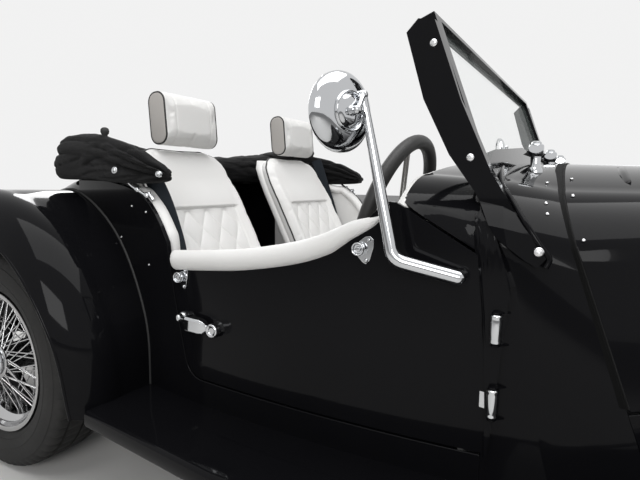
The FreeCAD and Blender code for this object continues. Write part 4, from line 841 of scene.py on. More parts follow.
def tail_line():
    """Centre line of the tail's top and back."""
    return spline([(x, 0, z) for x, z in ((-1.05, 0.836), (-1.16, 0.832), (-1.34, 0.79), (-1.54, 0.69),
                                          (-1.74, 0.536), (-1.815, 0.44), (-1.838, 0.36), (-1.84, 0.3),
                                          (-1.84, 0.236))], 7)


def tail_skin():
    """Right half of the tail: flat across the middle, rounded into the side."""
    rows = []
    line = tail_line()
    for i, p in enumerate(line):
        run = run_at(line, i).normalized()
        normal = Vector((run.z, 0, -run.x))
        radius = 0.03 + 0.03 * min(1.0, i / 12)
        y = tub_y(p.x)
        row = [Vector((p.x, -(y - radius) * k / 8, p.z)) for k in range(8)]
        for k in range(9):
            a = math.pi / 2 * k / 8
            fall = radius * (1 - math.cos(a))
            place = Vector((p.x, 0, p.z)) - normal * fall
            place.y = -(y - radius + radius * math.sin(a))
            row.append(place)
        foot = row[-1]
        low = Vector((max(foot.x, -1.838), -tub_y(max(foot.x, -1.838)), 0.236))
        row += [foot.lerp(low, k / 8) for k in range(1, 9)]
        rows.append(row)
    return Form().grid(rows)


tail_skin().mirrored().piece("tail_skin", PAINT, wall=0.008, edge=0.0015, crease=70, within=(-1.3, 0, 0.4),
                             replaces=("tail",))


# Bonnet, cowl and grille
LOUVRES = 22


def bonnet_edge(share):
    """Height of the bonnet's lower edge, from the seam to the nose."""
    return 0.475 + share * 0.238


def bonnet_rows(side):
    rows = []
    for i in range(31):
        share = i / 30
        station = between(SEAM, NOSE, share)
        rows.append(section_line(station, bonnet_edge(share), shift=GAP * (1 - 2 * share), side=side,
                                 start_y=0.0025))
    return rows


for side, sign in SIDES:
    lid = Form().grid(bonnet_rows(sign))
    lid.piece(f"bonnet_skin_{side}", PAINT, f"bonnet_{side}", wall=0.004, edge=0.0015,
              crease=60, within=(0.9, 0, 0.4), replaces=(f"bonnet_{side}",))
    louvres = Form()
    forward = Vector((1, 0, -0.035))
    for low_i, high_i, on_top in ((8, 16, True), (31, 38, False)):
        for i in range(LOUVRES):
            share = 0.1 + 0.8 * i / LOUVRES
            line = section_line(between(SEAM, NOSE, share), bonnet_edge(share), side=sign)
            a, middle, b = line[low_i], line[(low_i + high_i) // 2], line[high_i]
            out = (b - a).cross(forward).normalized() * sign
            if (out.z if on_top else out.y * sign) < 0:
                out = -out
            points = spline([a, a.lerp(b, 0.06) + out * 0.006, middle + out * 0.0075,
                             a.lerp(b, 0.94) + out * 0.006, b], 4)
            back = [p - forward * 0.016 - out * (0.0075 if 0 < k < len(points) - 1 else 0.0)
                    for k, p in enumerate(points)]
            louvres.grid([points, back])
    louvres.piece(f"bonnet_louvres_{side}", PAINT, f"bonnet_{side}", wall=0.0015, crease=45)


def full_section(station, low_z, inset=0.0, shift=0.0):
    right = section_line(station, low_z, inset=inset, side=-1, shift=shift)
    left = section_line(station, low_z, inset=inset, shift=shift)
    return right[::-1] + left[1:]


def cowl_ring():
    """Rounded shell of the radiator, open in the middle."""
    outer = [(NOSE, 0.0, 0.0), (between(NOSE, FACE, 0.5), 0.0, 0.0), (FACE, 0.0, -0.012),
             (FACE, 0.006, -0.003), (FACE, 0.014, 0.0), (FACE, 0.022, -0.004), (FACE, 0.028, -0.014),
             (between(NOSE, FACE, 0.3), 0.028, 0.0), (NOSE, 0.028, 0.004)]
    return Form().grid([full_section(station, 0.44 + inset, inset, shift)
                        for station, inset, shift in outer], ring=True)


cowl_ring().piece("radiator_cowl_shell", PAINT, crease=50, replaces=("radiator_cowl",))
core = Form().plate(full_section(NOSE, 0.466, inset=0.029, shift=0.004), (0.01, 0, 0))
core.piece("radiator_core", DARK, slot="chassis_paint", crease=30)


def valance():
    rows = []
    for i in range(41):
        share = i / 40
        station = between(SEAM, NOSE, share)
        top = 0.47 + share * 0.238
        row = []
        for k in range(15):
            z = top + (0.236 - top) * k / 14
            x = station["x"] + station["slant"] * (station["top_z"] - z)
            inward = 0.006 * max(0.0, min(1.0, (x - 0.85) / 0.2))
            row.append(Vector((x, inward - min(side_y(station, z), body_y(x, z - 0.001)), z)))
        rows.append(row)
    return Form().grid(rows)


both("engine_valance", valance, node="engine_valances", wall=0.006, edge=0.0015, crease=60,
     within=(0.9, 0, 0.4))


def running_board():
    """Smooth board with a rolled outer edge."""
    plan = [(-0.664, 0.6), (-0.664, 0.812), (-0.24, 0.858), (0.0, 0.86), (0.435, 0.86), (0.435, 0.59)]
    outer = []
    for (x0, y0), (x1, y1) in zip(plan[1:], plan[2:5]):
        outer += [(x0 + (x1 - x0) * i / 8, y0 + (y1 - y0) * i / 8) for i in range(8)]
    outer.append(plan[4])
    rows = []
    for x, y in outer:
        inner = tub_y(x)
        edge = [(y - 0.014, 0.292), (y - 0.006, 0.2905), (y - 0.001, 0.286), (y, 0.278), (y, 0.262),
                (y - 0.002, 0.256), (y - 0.008, 0.253)]
        row = [(inner, 0.292), ((inner + y) / 2, 0.292)] + edge + [((inner + y) / 2, 0.253), (inner, 0.253)]
        rows.append([Vector((x, -b, z)) for b, z in row])
    return Form().loft(rows)


both("running_board_panel", running_board, node="running_boards", crease=40)


# Soft trim
SEAT_Y = 0.316
TO_SEAT = Vector((0, -SEAT_Y, 0))
SEAT_FOOT_X = -0.625
SEAT_FOOT_Z = 0.545
BACK_LEAN = math.tan(math.radians(27.5))
KEPT_FACES = 0.42
PANEL_HALF = 0.135
PANEL_TOP_Z = 0.753


def smooth_step(low, high, value):
    share = max(0.0, min(1.0, (value - low) / (high - low)))
    return share * share * (3 - 2 * share)


def back_face(z):
    """The x of the seat back's front face at a height."""
    return SEAT_FOOT_X - (z - SEAT_FOOT_Z) * BACK_LEAN


def seat_ring(x0, x1, half, corner, z):
    """Level ring round a rectangle with round corners, centred on the right-hand seat."""
    ring = []
    for cx, cy, first in ((x1 - corner, half - corner, 0), (x0 + corner, half - corner, 90),
                          (x0 + corner, corner - half, 180), (x1 - corner, corner - half, 270)):
        for k in range(7):
            turn = math.radians(first + 15 * k)
            ring.append(Vector((cx + corner * math.cos(turn), cy + corner * math.sin(turn), z)) + TO_SEAT)
    return ring


def evaluated_copy(item):
    """Replace a piece's mesh by what its modifiers make of it."""
    graph = bpy.context.evaluated_depsgraph_get()
    mesh = bpy.data.meshes.new_from_object(item.evaluated_get(graph))
    item.modifiers.clear()
    item.data = mesh
    return mesh


def puffed(item, voxel=0.006, cap=0.009, held=None):
    """Fill a pad: an even cover, pressed outwards like cloth under pressure, held where its seams are."""
    cover = item.modifiers.new("cover", "REMESH")
    cover.mode = "VOXEL"
    cover.voxel_size = voxel
    mesh = evaluated_copy(item)
    start = [vert.co.copy() for vert in mesh.vertices]
    cloth = item.modifiers.new("cloth", "CLOTH")
    cloth.settings.use_pressure = True
    cloth.settings.uniform_pressure_force = 4
    cloth.settings.effector_weights.gravity = 0
    cloth.settings.mass = 0.3
    cloth.settings.quality = 5
    cloth.settings.tension_stiffness = 15
    cloth.settings.compression_stiffness = 15
    cloth.settings.bending_stiffness = 0.5
    cloth.point_cache.frame_start, cloth.point_cache.frame_end = 1, 20
    for moment in range(1, 21):
        bpy.context.scene.frame_set(moment)
    mesh = evaluated_copy(item)
    bpy.context.scene.frame_set(1)
    for vert, old in zip(mesh.vertices, start):
        move = vert.co - old
        reach = cap * (1 - held(old) if held else 1)
        if move.length > reach:
            move = move.normalized() * reach
        vert.co = old + move
    item.modifiers.new("finer", "SUBSURF").levels = 1
    evaluated_copy(item)


def shaped_by(item, rule):
    """Move every point along its normal by the rule's metres, then drop faces where it is smooth."""
    mesh = item.data
    normals = [vert.normal.copy() for vert in mesh.vertices]
    for vert, normal in zip(mesh.vertices, normals):
        step = rule(vert.co, normal)
        if step:
            vert.co += normal * step
    mesh.update()
    item.modifiers.new("fewer", "DECIMATE").ratio = KEPT_FACES
    evaluated_copy(item).shade_smooth()


def on_surface(item, points, lift):
    """The points moved to the nearest place on a piece, then out by lift."""
    placed = []
    for point in points:
        found, place, normal, _ = item.closest_point_on_mesh(Vector(point))
        placed.append(place + normal * lift if found else Vector(point))
    return placed


def pillow(u, v):
    """Height of diamond quilting between its stitch lines, from 0 to 1."""
    a, b = abs(math.sin(math.pi * (u + v))), abs(math.sin(math.pi * (u - v)))
    return (a * b) ** 0.42


def quilted(across, along, edge_low, edge_high):
    """Step of a quilted panel: let in between its seams, crowned in diamonds."""
    inside = smooth_step(PANEL_HALF + 0.002, PANEL_HALF - 0.01, abs(across))
    inside *= smooth_step(edge_high + 0.002, edge_high - 0.01, along)
    inside *= smooth_step(edge_low - 0.002, edge_low + 0.01, along)
    groove = math.exp(-((abs(across) - PANEL_HALF) / 0.0035) ** 2) if edge_low < along < edge_high else 0.0
    groove = max(groove, math.exp(-((along - edge_high) / 0.0035) ** 2) if abs(across) < PANEL_HALF else 0.0)
    return inside * (0.0065 * pillow(across / 0.084, along / 0.124) - 0.0085) - 0.0035 * groove


def mirror_piece(item, name, body, replaces=()):
    """The same piece on the other side of the car."""
    data = item.data.copy()
    data.transform(Matrix.Diagonal((1, -1, 1, 1)))
    data.flip_normals()
    data.name = name
    other = new_object(name, data)
    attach(other, body)
    if replaces:
        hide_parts(*replaces)
    return other


def seat_sides(item, replaces=()):
    name = item.name.replace("_right", "_left")
    other = mirror_piece(item, name, "car", replaces)


BACK_WIDTHS = [(0.5, 0.2), (0.53, 0.206), (0.58, 0.208), (0.7, 0.208), (0.8, 0.208), (0.85, 0.203),
               (0.89, 0.194), (0.915, 0.176), (0.93, 0.15), (0.937, 0.122)]


def back_half_width(z):
    return profile(BACK_WIDTHS, z)


def seat_back_pad():
    rings = []
    for i in range(25):
        z = 0.5 + 0.437 * i / 24
        half = back_half_width(z) - 0.003
        front = back_face(min(z, 0.9)) - 0.003 - 0.03 * smooth_step(0.895, 0.95, z)
        depth = 0.05 - 0.016 * smooth_step(0.9, 0.937, z)
        rings.append(seat_ring(front - depth, front, half, 0.021, z))
    form = Form().loft(rings)
    pad = form.piece("seat_back_pad_right", **LEATHER, replaces=("seat_back_right",))
    puffed(pad)

    def rule(p, normal):
        if normal.x < 0.25:
            return 0.0
        across = p.y + SEAT_Y
        along = (p.z - PANEL_TOP_Z) / 0.887
        ledge = 0.006 * smooth_step(PANEL_TOP_Z, PANEL_TOP_Z + 0.004, p.z) * smooth_step(0.85, 0.77, p.z)
        ledge *= smooth_step(PANEL_HALF + 0.03, PANEL_HALF - 0.01, abs(across))
        bolster = 0.011 * math.exp(-((abs(across) - 0.172) / 0.022) ** 2) * smooth_step(0.86, 0.74, p.z)
        return min(1.0, (normal.x - 0.25) * 2) * (quilted(across, along, -0.3, 0.0) + bolster + ledge)
    shaped_by(pad, rule)
    seat_sides(pad, ("seat_back_left",))
    return pad


def seat_cushion_pad():
    rings = []
    for i in range(13):
        z = 0.4 + 0.118 * i / 12
        shrink = 0.01 * smooth_step(0.485, 0.518, z) + 0.004 * smooth_step(0.42, 0.4, z)
        front = -0.176 - shrink - 0.022 * smooth_step(0.47, 0.4, z)
        rings.append(seat_ring(-0.615 + shrink, front, 0.207 - shrink, 0.035, z))
    form = Form().loft(rings)
    pad = form.piece("seat_cushion_pad_right", **LEATHER, replaces=("seat_cushion_right",))
    puffed(pad)

    def rule(p, normal):
        if normal.z < 0.25:
            return 0.0
        across = p.y + SEAT_Y
        bolster = 0.012 * math.exp(-((abs(across) - 0.172) / 0.022) ** 2)
        return min(1.0, (normal.z - 0.25) * 2) * (quilted(across, p.x, -0.7, -0.245) + bolster - 0.006)
    shaped_by(pad, rule)
    seat_sides(pad, ("seat_cushion_left",))
    return pad


HEAD_TILT = Matrix.Translation((-0.815, 0, 1.0235)) @ Matrix.Rotation(math.radians(-5), 4, "Y")


def head_ring(y, grow=0.0):
    """Oval of the headrest at a distance from its middle."""
    ring = []
    half_depth, half_height, corner = 0.0365 + grow, 0.0805 + grow, 0.033 + grow
    for cx, cz, first in ((1, 1, 0), (-1, 1, 90), (-1, -1, 180), (1, -1, 270)):
        for k in range(9):
            turn = math.radians(first + 11.25 * k)
            ring.append(HEAD_TILT @ Vector((cx * (half_depth - corner) + corner * math.cos(turn), y - SEAT_Y,
                                            cz * (half_height - corner) + corner * math.sin(turn))))
    return ring


def headrest():
    rings = [head_ring(-0.104 + 0.208 * i / 12, 0.0012 * math.sin(math.pi * i / 12)) for i in range(13)]
    form = Form().loft([head_ring(-0.11, -0.0015)] + rings + [head_ring(0.11, -0.0015)])
    roll = form.piece("headrest_roll_right", **LEATHER)
    puffed(roll, voxel=0.005, cap=0.006, held=lambda p: smooth_step(0.085, 0.108, abs(p.y + SEAT_Y)))
    shaped_by(roll, lambda p, normal: -0.0022 * math.exp(-((abs(p.y + SEAT_Y) - 0.074) / 0.0022) ** 2)
              if abs(normal.y) < 0.7 else 0.0)
    seat_sides(roll)
    ends, piping = Form(), Form()
    for sign in (-1, 1):
        cap = [head_ring(sign * 0.1085, -0.003), head_ring(sign * 0.1115, -0.0045),
               head_ring(sign * 0.1125, -0.012)]
        ends.loft(cap if sign > 0 else cap[::-1])
        piping.tube(head_ring(sign * 0.11, -0.0042), 0.0027, sides=10, closed=True, up=(0, 1, 0))
    for form, name, material in ((ends, "headrest_ends", GREIGE), (piping, "headrest_piping", PIPING)):
        item = form.piece(name + "_right", material, slot="seat_leather", crease=60)
        mirror_piece(item, name + "_left", "car")


def seat_piping(pad, cushion):
    """Piping round the seat back and the cushion, laid on their covers."""
    form = Form()
    side = [Vector((back_face(z) - 0.014, back_half_width(z), z)) for z in
            [0.52 + 0.38 * i / 20 for i in range(21)]]
    side += [Vector((back_face(0.9) - 0.02 - 0.012 * k, back_half_width(z), z))
             for k, z in enumerate((0.917, 0.929, 0.936))]
    top = [Vector((side[-1].x, side[-1].y * (1 - k / 6), 0.941)) for k in range(1, 12)]
    path = side + top + [Vector((p.x, -p.y, p.z)) for p in reversed(side)]
    path = [p + TO_SEAT for p in path]
    form.tube(spline(on_surface(pad, path, 0.0012), 3), 0.003, sides=8)
    ring = seat_ring(-0.61, -0.18, 0.205, 0.035, 0.492)
    form.tube(spline(on_surface(cushion, ring, 0.0012), 3, closed=True), 0.003, sides=8, closed=True)
    item = form.piece("seat_piping_right", PIPING, slot="seat_leather", crease=60)
    mirror_piece(item, "seat_piping_left", "car")


def seat_shell():
    """Back board and base under the pads, covered as the seat is."""
    rings = []
    for i in range(22):
        z = 0.25 + 0.672 * i / 21
        half = 0.196 if z < 0.5 else back_half_width(z) - 0.01
        front = back_face(max(0.49, min(z, 0.9))) - 0.04 - 0.014 * smooth_step(0.895, 0.93, z)
        rings.append(seat_ring(front - 0.034, front, half, 0.014, z))
    form = Form().loft(rings)
    form.loft([seat_ring(-0.6, -0.196, 0.192, 0.02, z) for z in (0.25, 0.3, 0.36, 0.412)])
    item = form.piece("seat_shell_right", **LEATHER, crease=50, smooth=1)
    mirror_piece(item, "seat_shell_left", "car")


seat_back = seat_back_pad()
seat_cushion = seat_cushion_pad()
headrest()
seat_piping(seat_back, seat_cushion)
seat_shell()


def belt(path, width, lean_first, lean_last):
    """Flat strap along the path; its width turns from one direction to another."""
    line = spline(path, 8)
    rows = []
    for i, p in enumerate(line):
        run = run_at(line, i).normalized()
        wide = Vector(lean_first).lerp(Vector(lean_last), i / (len(line) - 1))
        wide = (wide - run * wide.dot(run)).normalized() * width / 2
        out = run.cross(wide).normalized() * 0.0011
        rows.append([p - wide - out, p - wide * 0.96 + out, p + wide * 0.96 + out, p + wide - out])
    return Form().loft(rows)


belt(((-0.716, -0.56, 0.872), (-0.694, -0.549, 0.827), (-0.669, -0.543, 0.776), (-0.645, -0.54, 0.721),
      (-0.622, -0.538, 0.665), (-0.605, -0.536, 0.6), (-0.596, -0.536, 0.52)), 0.046, (0.8, 0.55, 0.2),
      (-0.45, 0.88, 0.0)).piece("seat_belt_right", WEBBING, slot="trim_leather", crease=40)
belt(((-0.822, 0.529, 0.938), (-0.806, 0.528, 0.903), (-0.783, 0.527, 0.842), (-0.756, 0.527, 0.769),
      (-0.73, 0.528, 0.692), (-0.705, 0.53, 0.617), (-0.688, 0.534, 0.54)), 0.044, (0.9, 0.3, 0.3),
     (0.9, 0.3, 0.3)).piece("seat_belt_left", WEBBING, slot="trim_leather", crease=40)


# Door pads and quarter trim
def pad_share(x):
    """How full the door pad is at x: 1 over the elbow, 0 at its pointed front end."""
    return max(0.0, min(1.0, (0.014 - x) / 0.105)) ** 0.55 if x > -0.091 else 1.0


def door_pad():
    rings = []
    count = 66
    for i in range(count + 1):
        x = -0.5665 + (0.5805 * i / count)
        full = max(0.06, pad_share(x))
        end = math.sqrt(max(0.05, min(1.0, (x + 0.5675) / 0.018)))
        half = 0.0245 * full * end
        wide = 0.0275 * (0.35 + 0.65 * full) * end
        crown = profile(DOOR_TOP, x) - 0.001 - 0.02 * smooth_step(-0.06, 0.014, x)
        middle = crown - half
        y = -(tub_y(x) - 0.012 + 0.008 * (1 - full))
        rings.append([Vector((x, y - wide * math.cos(a) * abs(math.cos(a)) ** -0.12,
                              middle + half * math.sin(a) * (1.06 if math.sin(a) < 0 else 1.0)))
                              for a in (2 * math.pi * (k + 0.5) / 28 for k in range(28))])
    return Form().loft(rings)


for item in both("door_pad", door_pad, "door_{side}", **LEATHER, crease=70, smooth=1):
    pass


def quarter_roll():
    """Padded edge over the quarter, from the seat back down to the door's rear end."""
    line = [(x, profile(QUARTER_TOP, x)) for x in (-0.9, -0.86, -0.82, -0.77, -0.73, -0.69, -0.664, -0.64,
                                                   -0.622, -0.606, -0.594, -0.586)]
    line += [(-0.5815, 0.668), (-0.58, 0.625)]
    path = spline([(x, -(tub_y(x) - 0.0335), z - 0.012) if x < -0.7
                   else (x - 0.014, -(tub_y(x) - 0.0335), z - 0.004) for x, z in line], 4)
    return Form().tube(path, [0.0215 * (0.5 + 0.5 * smooth_step(-0.905, -0.87, p.x)) for p in path],
                       sides=20, flat=0.85)


def quarter_card():
    low = [(-1.04, 0.25), (-0.57, 0.25)]
    high = [(-1.04, 0.822), (-0.86, 0.822), (-0.77, 0.808), (-0.7, 0.79), (-0.65, 0.758), (-0.61, 0.7),
            (-0.592, 0.65), (-0.57, 0.56)]
    return Form().grid(side_panel(low, high, step=0.02, rows=10, out=-0.013))


for item in both("quarter_trim_roll", quarter_roll, **LEATHER, crease=70):
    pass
both("quarter_card", quarter_card, **LEATHER, wall=0.026, edge=0.003, crease=60, within=(-0.8, 0, 0.5))


# Folded hood
HOOD_STATIONS = (
    # inner x, inner y, outer x, outer y, base, top: from the right tip round to the middle of the back
    (-0.614, 0.572, -0.614, 0.592, 0.844, 0.858),
    (-0.618, 0.564, -0.618, 0.602, 0.838, 0.866),
    (-0.632, 0.560, -0.632, 0.612, 0.834, 0.878),
    (-0.664, 0.556, -0.664, 0.619, 0.831, 0.893),
    (-0.715, 0.550, -0.715, 0.620, 0.829, 0.918),
    (-0.795, 0.540, -0.795, 0.612, 0.830, 0.941),
    (-0.890, 0.522, -0.892, 0.598, 0.8365, 0.962),
    (-0.960, 0.495, -1.000, 0.580, 0.8375, 0.974),
    (-0.975, 0.455, -1.100, 0.560, 0.8375, 0.980),
    (-0.970, 0.410, -1.152, 0.530, 0.8370, 0.977),
    (-0.968, 0.350, -1.166, 0.470, 0.8365, 0.966),
    (-0.966, 0.220, -1.162, 0.300, 0.8360, 0.948),
    (-0.966, 0.000, -1.158, 0.000, 0.8360, 0.938),
)
HOOD_ROUND = ((0.1, 0.0), (0.5, 0.0), (0.9, 0.0), (1.0, 0.07), (1.03, 0.26), (1.03, 0.5), (0.98, 0.74),
              (0.86, 0.91), (0.68, 0.985), (0.5, 1.0), (0.32, 0.97), (0.14, 0.88), (0.02, 0.7),
              (-0.02, 0.45), (0.0, 0.18))
HOOD_OUTLINE = spline([(u, h, 0) for u, h in HOOD_ROUND], 6, closed=True)


def hood_fold(along, across, height, outer):
    """How far the cloth stands out of the rolled shape: layers towards the tip, loose wrinkles elsewhere."""
    tip = smooth_step(-0.96, -0.66, along)
    depth = 0.0
    for start, end, width, deep in ((0.86, 0.62, 0.055, 0.012), (0.6, 0.33, 0.05, 0.01),
                                    (0.97, 0.86, 0.05, 0.008)):
        place = start + (end - start) * smooth_step(-0.98, -0.62, along)
        depth -= (deep * tip + 0.0025) * math.exp(-((height - place) / width) ** 2) * (1 if outer else 0.6)
        depth += 0.35 * deep * tip * math.exp(-((height - place - 0.1) / 0.07) ** 2)
    loose = Vector((along * 5.5 + height * 1.7, across * 5.5, height * 3.6))
    depth += 0.01 * noise.noise(loose) * (1 - 0.6 * tip)
    crease = abs(noise.noise(Vector((along * 9 - height * 4.5, across * 9, 7 + height * 2.2))))
    depth -= 0.009 * max(0.0, 0.16 - crease) / 0.16 * (1 - 0.5 * tip)
    return depth + 0.0016 * noise.noise(loose * 5.5)


def hood_form():
    half = spline([(xi, -yi, xo, -yo, base, top) for xi, yi, xo, yo, base, top in HOOD_STATIONS], 9)
    line = half + [Vector((a, -b, c, -d, e, f)) for a, b, c, d, e, f in reversed(half[:-1])]
    rings = []
    for xi, yi, xo, yo, base, top in line:
        inner, outer = Vector((xi, yi, 0)), Vector((xo, yo, 0))
        middle = inner.lerp(outer, 0.5)
        middle.z = (base + top) / 2
        size = min(1.0, (top - base) / 0.06)
        ring = []
        for u, h, _ in HOOD_OUTLINE:
            p = inner.lerp(outer, u)
            p.z = base + h * (top - base)
            away = (p - middle).normalized()
            fold = hood_fold(middle.x, middle.y, h, u > 0.5) * size * smooth_step(0.0, 0.16, h)
            ring.append(p + away * fold)
        rings.append(ring)
    return Form().loft(rings)


hood = hood_form().piece("hood_stack", HOOD_CLOTH, slot="hood_cloth", crease=80, wall=0.0022,
                         replaces=("folded_hood",))


def hood_cut():
    """Cloth round the stack, from its stations alone: outer edge, widest girth and area, in metres."""
    girths, outer, middle = [], [], []
    for xi, yi, xo, yo, base, top in HOOD_STATIONS:
        deep = math.hypot(xo - xi, yo - yi)
        ring = [Vector((u * deep, h * (top - base), 0)) for u, h, _ in HOOD_OUTLINE]
        girths.append(sum((q - p).length for p, q in zip(ring, ring[1:] + ring[:1])))
        outer.append(Vector((xo, yo, (base + top) / 2)))
        middle.append(Vector(((xi + xo) / 2, (yi + yo) / 2, (base + top) / 2)))
    edge = 2 * sum((q - p).length for p, q in zip(outer, outer[1:]))
    area = sum((q - p).length * (a + b) for p, q, a, b in zip(middle, middle[1:], girths, girths[1:]))
    return edge, max(girths), area


cut_width, cut_length, cut_area = hood_cut()


# Fittings
def bent(points, radius, steps=6):
    """Path through the points with its corners rounded."""
    points = [Vector(p) for p in points]
    path = [points[0]]
    for before, corner, after in zip(points, points[1:], points[2:]):
        first = corner + (before - corner).normalized() * radius
        last = corner + (after - corner).normalized() * radius
        for k in range(steps + 1):
            t = k / steps
            path.append(first * (1 - t) ** 2 + corner * 2 * t * (1 - t) + last * t * t)
    return path + [points[-1]]


HINGE_X = 0.224
HINGE_Y = -(tub_y(HINGE_X) + 0.011)
HINGE_HEIGHTS = (0.566, 0.433)


def door_hinges():
    form = Form()
    for z in HINGE_HEIGHTS:
        form.lathe([(0.0, -0.001), (0.0078, -0.001), (0.0098, 0.001), (0.01, 0.004), (0.0096, 0.006),
                    (0.01, 0.008), (0.01, 0.042), (0.0096, 0.044), (0.01, 0.046), (0.0098, 0.049),
                    (0.0078, 0.051), (0.0, 0.051)], at=(HINGE_X, HINGE_Y, z), axis=(0, 0, 1), steps=36)
        plate = ((0.2, 0.0135), (0.2, 0.0085), (0.222, 0.0035), (0.222, 0.0085))
        form.loft([[Vector((x, HINGE_Y + out, z + h)) for x, out in plate] for h in (0.01, 0.04)])
    return form


MIRROR_AT = Vector((-0.0355, -0.7222, 0.96))
MIRROR_AXIS = Vector((0.951, -0.309, 0))


def mirror_head():
    """Domed back with a raised disc in its middle, and the clamp on it."""
    form = Form().lathe([(0.03, 0.0165), (0.04, 0.016), (0.052, 0.0135), (0.062, 0.0085), (0.0672, 0.0035),
                         (0.069, 0.001), (0.0704, -0.0035), (0.0704, -0.0095), (0.069, -0.0125),
                         (0.0665, -0.012), (0.0655, -0.009), (0.06, 0.005), (0.03, 0.012)], at=MIRROR_AT,
                         axis=MIRROR_AXIS, steps=80, closed=True)
    form.lathe([(0.0, 0.0225), (0.02, 0.0222), (0.0255, 0.0205), (0.0275, 0.0178), (0.03, 0.0172),
                (0.0318, 0.0205), (0.0336, 0.0212), (0.035, 0.0195), (0.0355, 0.015), (0.0, 0.012)],
                at=MIRROR_AT, axis=MIRROR_AXIS, steps=56)
    form.lathe([(0.0, 0.042), (0.005, 0.0415), (0.0078, 0.039), (0.0084, 0.033), (0.007, 0.028),
                (0.0095, 0.0235), (0.01, 0.02)], at=MIRROR_AT, axis=MIRROR_AXIS, steps=24)
    return form


def mirror_arm():
    """Arm from the door up to the head: stout where it bends, slimmer towards its top."""
    form = Form()
    top, foot = Vector((-0.008, -0.7, 0.99)), Vector((0.16, -0.661, 0.677))
    path = bent([top, (0.056, -0.7, 0.704), foot], 0.02, 8)
    radii = []
    for p in path:
        share = smooth_step(0.985, 0.72, p.z)
        radii.append(0.007 + 0.0042 * share + 0.0028 * smooth_step(0.74, 0.69, p.z))
    form.tube(path, radii, sides=24)
    form.ball(foot, 0.014, steps=24)
    form.tube([foot, Vector((0.162, -0.632, 0.675))], 0.0125, sides=24)
    form.ball(top, 0.0092)
    form.tube([top + Vector((0.001, 0, -0.01)), top + Vector((0.0045, 0, -0.03))], 0.0086, sides=20)
    hub = MIRROR_AT + MIRROR_AXIS * 0.036
    form.tube([top, top.lerp(hub, 0.55), hub], [0.0068, 0.0048, 0.0052], sides=16)
    return form


def mirror_glass():
    return Form().lathe([(0.0, -0.01), (0.0655, -0.0092), (0.0662, -0.007), (0.0, -0.007)], at=MIRROR_AT,
                        axis=MIRROR_AXIS, steps=72)


def door_handle():
    """Pivot, chunky lever and round lock end."""
    form = Form()
    z = 0.5
    skin = tub_y(-0.46)
    form.lathe([(0.0, 0.026), (0.006, 0.0255), (0.009, 0.022), (0.0095, 0.012), (0.0125, 0.008),
                (0.0135, 0.003), (0.0135, -0.004)], at=(-0.515, -tub_y(-0.515), z + 0.004), axis=(0, -1, 0),
                steps=32)
    rings = []
    for x, height, depth, out in ((-0.506, 0.012, 0.01, 0.014), (-0.492, 0.014, 0.012, 0.015),
                                  (-0.486, 0.032, 0.022, 0.019), (-0.478, 0.037, 0.026, 0.021),
                                  (-0.436, 0.036, 0.026, 0.021), (-0.426, 0.03, 0.022, 0.02),
                                  (-0.419, 0.016, 0.014, 0.018), (-0.408, 0.014, 0.012, 0.017)):
        a, b = height / 2, depth / 2
        corner = 0.28
        ring = [(a, -b * (1 - corner)), (a * (1 - corner), -b), (-a * (1 - corner), -b),
                (-a, -b * (1 - corner)), (-a, b * (1 - corner)), (-a * (1 - corner), b),
                (a * (1 - corner), b), (a, b * (1 - corner))]
        rings.append([Vector((x, -(skin + out) + dy, z - 0.006 * (x + 0.506) / 0.1 + dz)) for dz, dy in ring])
    form.loft(rings)
    form.lathe([(0.0, 0.024), (0.0075, 0.024), (0.0082, 0.0262), (0.0135, 0.0285), (0.0165, 0.0265),
                (0.0175, 0.02), (0.0165, 0.01), (0.0185, 0.005), (0.019, -0.004)],
                at=(-0.396, -tub_y(-0.396), z - 0.006), axis=(0, -1, 0), steps=40)
    return form


def screen_brackets():
    form = Form()
    outline = ((-0.017, 0.006), (-0.006, 0.02), (0.012, 0.034), (0.024, 0.036), (0.034, 0.027),
               (0.034, 0.01), (0.024, -0.026), (0.014, -0.036), (0.005, -0.032), (-0.012, -0.014),
               (-0.019, -0.004))
    for x, z in ((-0.522, 0.6), (-0.029, 0.71)):
        plate = [Vector((x + 0.76 * dx, -(tub_y(x + dx) - 0.001), z + 0.76 * dz)) for dx, dz in outline]
        form.plate(plate, (0, -0.0045, 0))
        form.lathe([(0.0, 0.014), (0.0045, 0.0135), (0.0055, 0.01), (0.0085, 0.0105), (0.01, 0.015),
                    (0.012, 0.0158), (0.0133, 0.014), (0.0133, 0.007), (0.0112, 0.004), (0.0108, -0.001)],
                    at=(x - 0.002, -tub_y(x), z + 0.002), axis=(0, -1, 0), steps=36)
        for dx, dz in ((0.017, 0.02), (0.0115, -0.02)):
            form.lathe([(0.0, 0.0075), (0.0028, 0.007), (0.0042, 0.005), (0.0042, 0.002)],
                       at=(x + dx, -tub_y(x + dx), z + dz), axis=(0, -1, 0), steps=20)
    return form


def on_doors(name, build, material=CHROME, **options):
    both(name, build, "door_{side}", material, slot="chrome", **options)


on_doors("door_hinge_barrels", door_hinges, crease=40, edge=0.0008)


def hinge_ears():
    """Slim ears on the scuttle that hold each pin above and below its barrel."""
    form = Form()
    foot = -(tub_y(0.245) - 0.01)
    for z in HINGE_HEIGHTS:
        for low, high in ((z - 0.0055, z - 0.0015), (z + 0.0515, z + 0.0555)):
            form.lathe([(0.0, low), (0.0066, low), (0.0078, low + 0.001), (0.0078, high - 0.001),
                        (0.0066, high), (0.0, high)], at=(HINGE_X, HINGE_Y, 0), axis=(0, 0, 1), steps=28)
            form.loft([[Vector((0.219, HINGE_Y + 0.002, h)), Vector((0.231, HINGE_Y + 0.002, h)),
                        Vector((0.252, foot, h)), Vector((0.238, foot, h))]
                        for h in (low + 0.0005, high - 0.0005)])
    return form


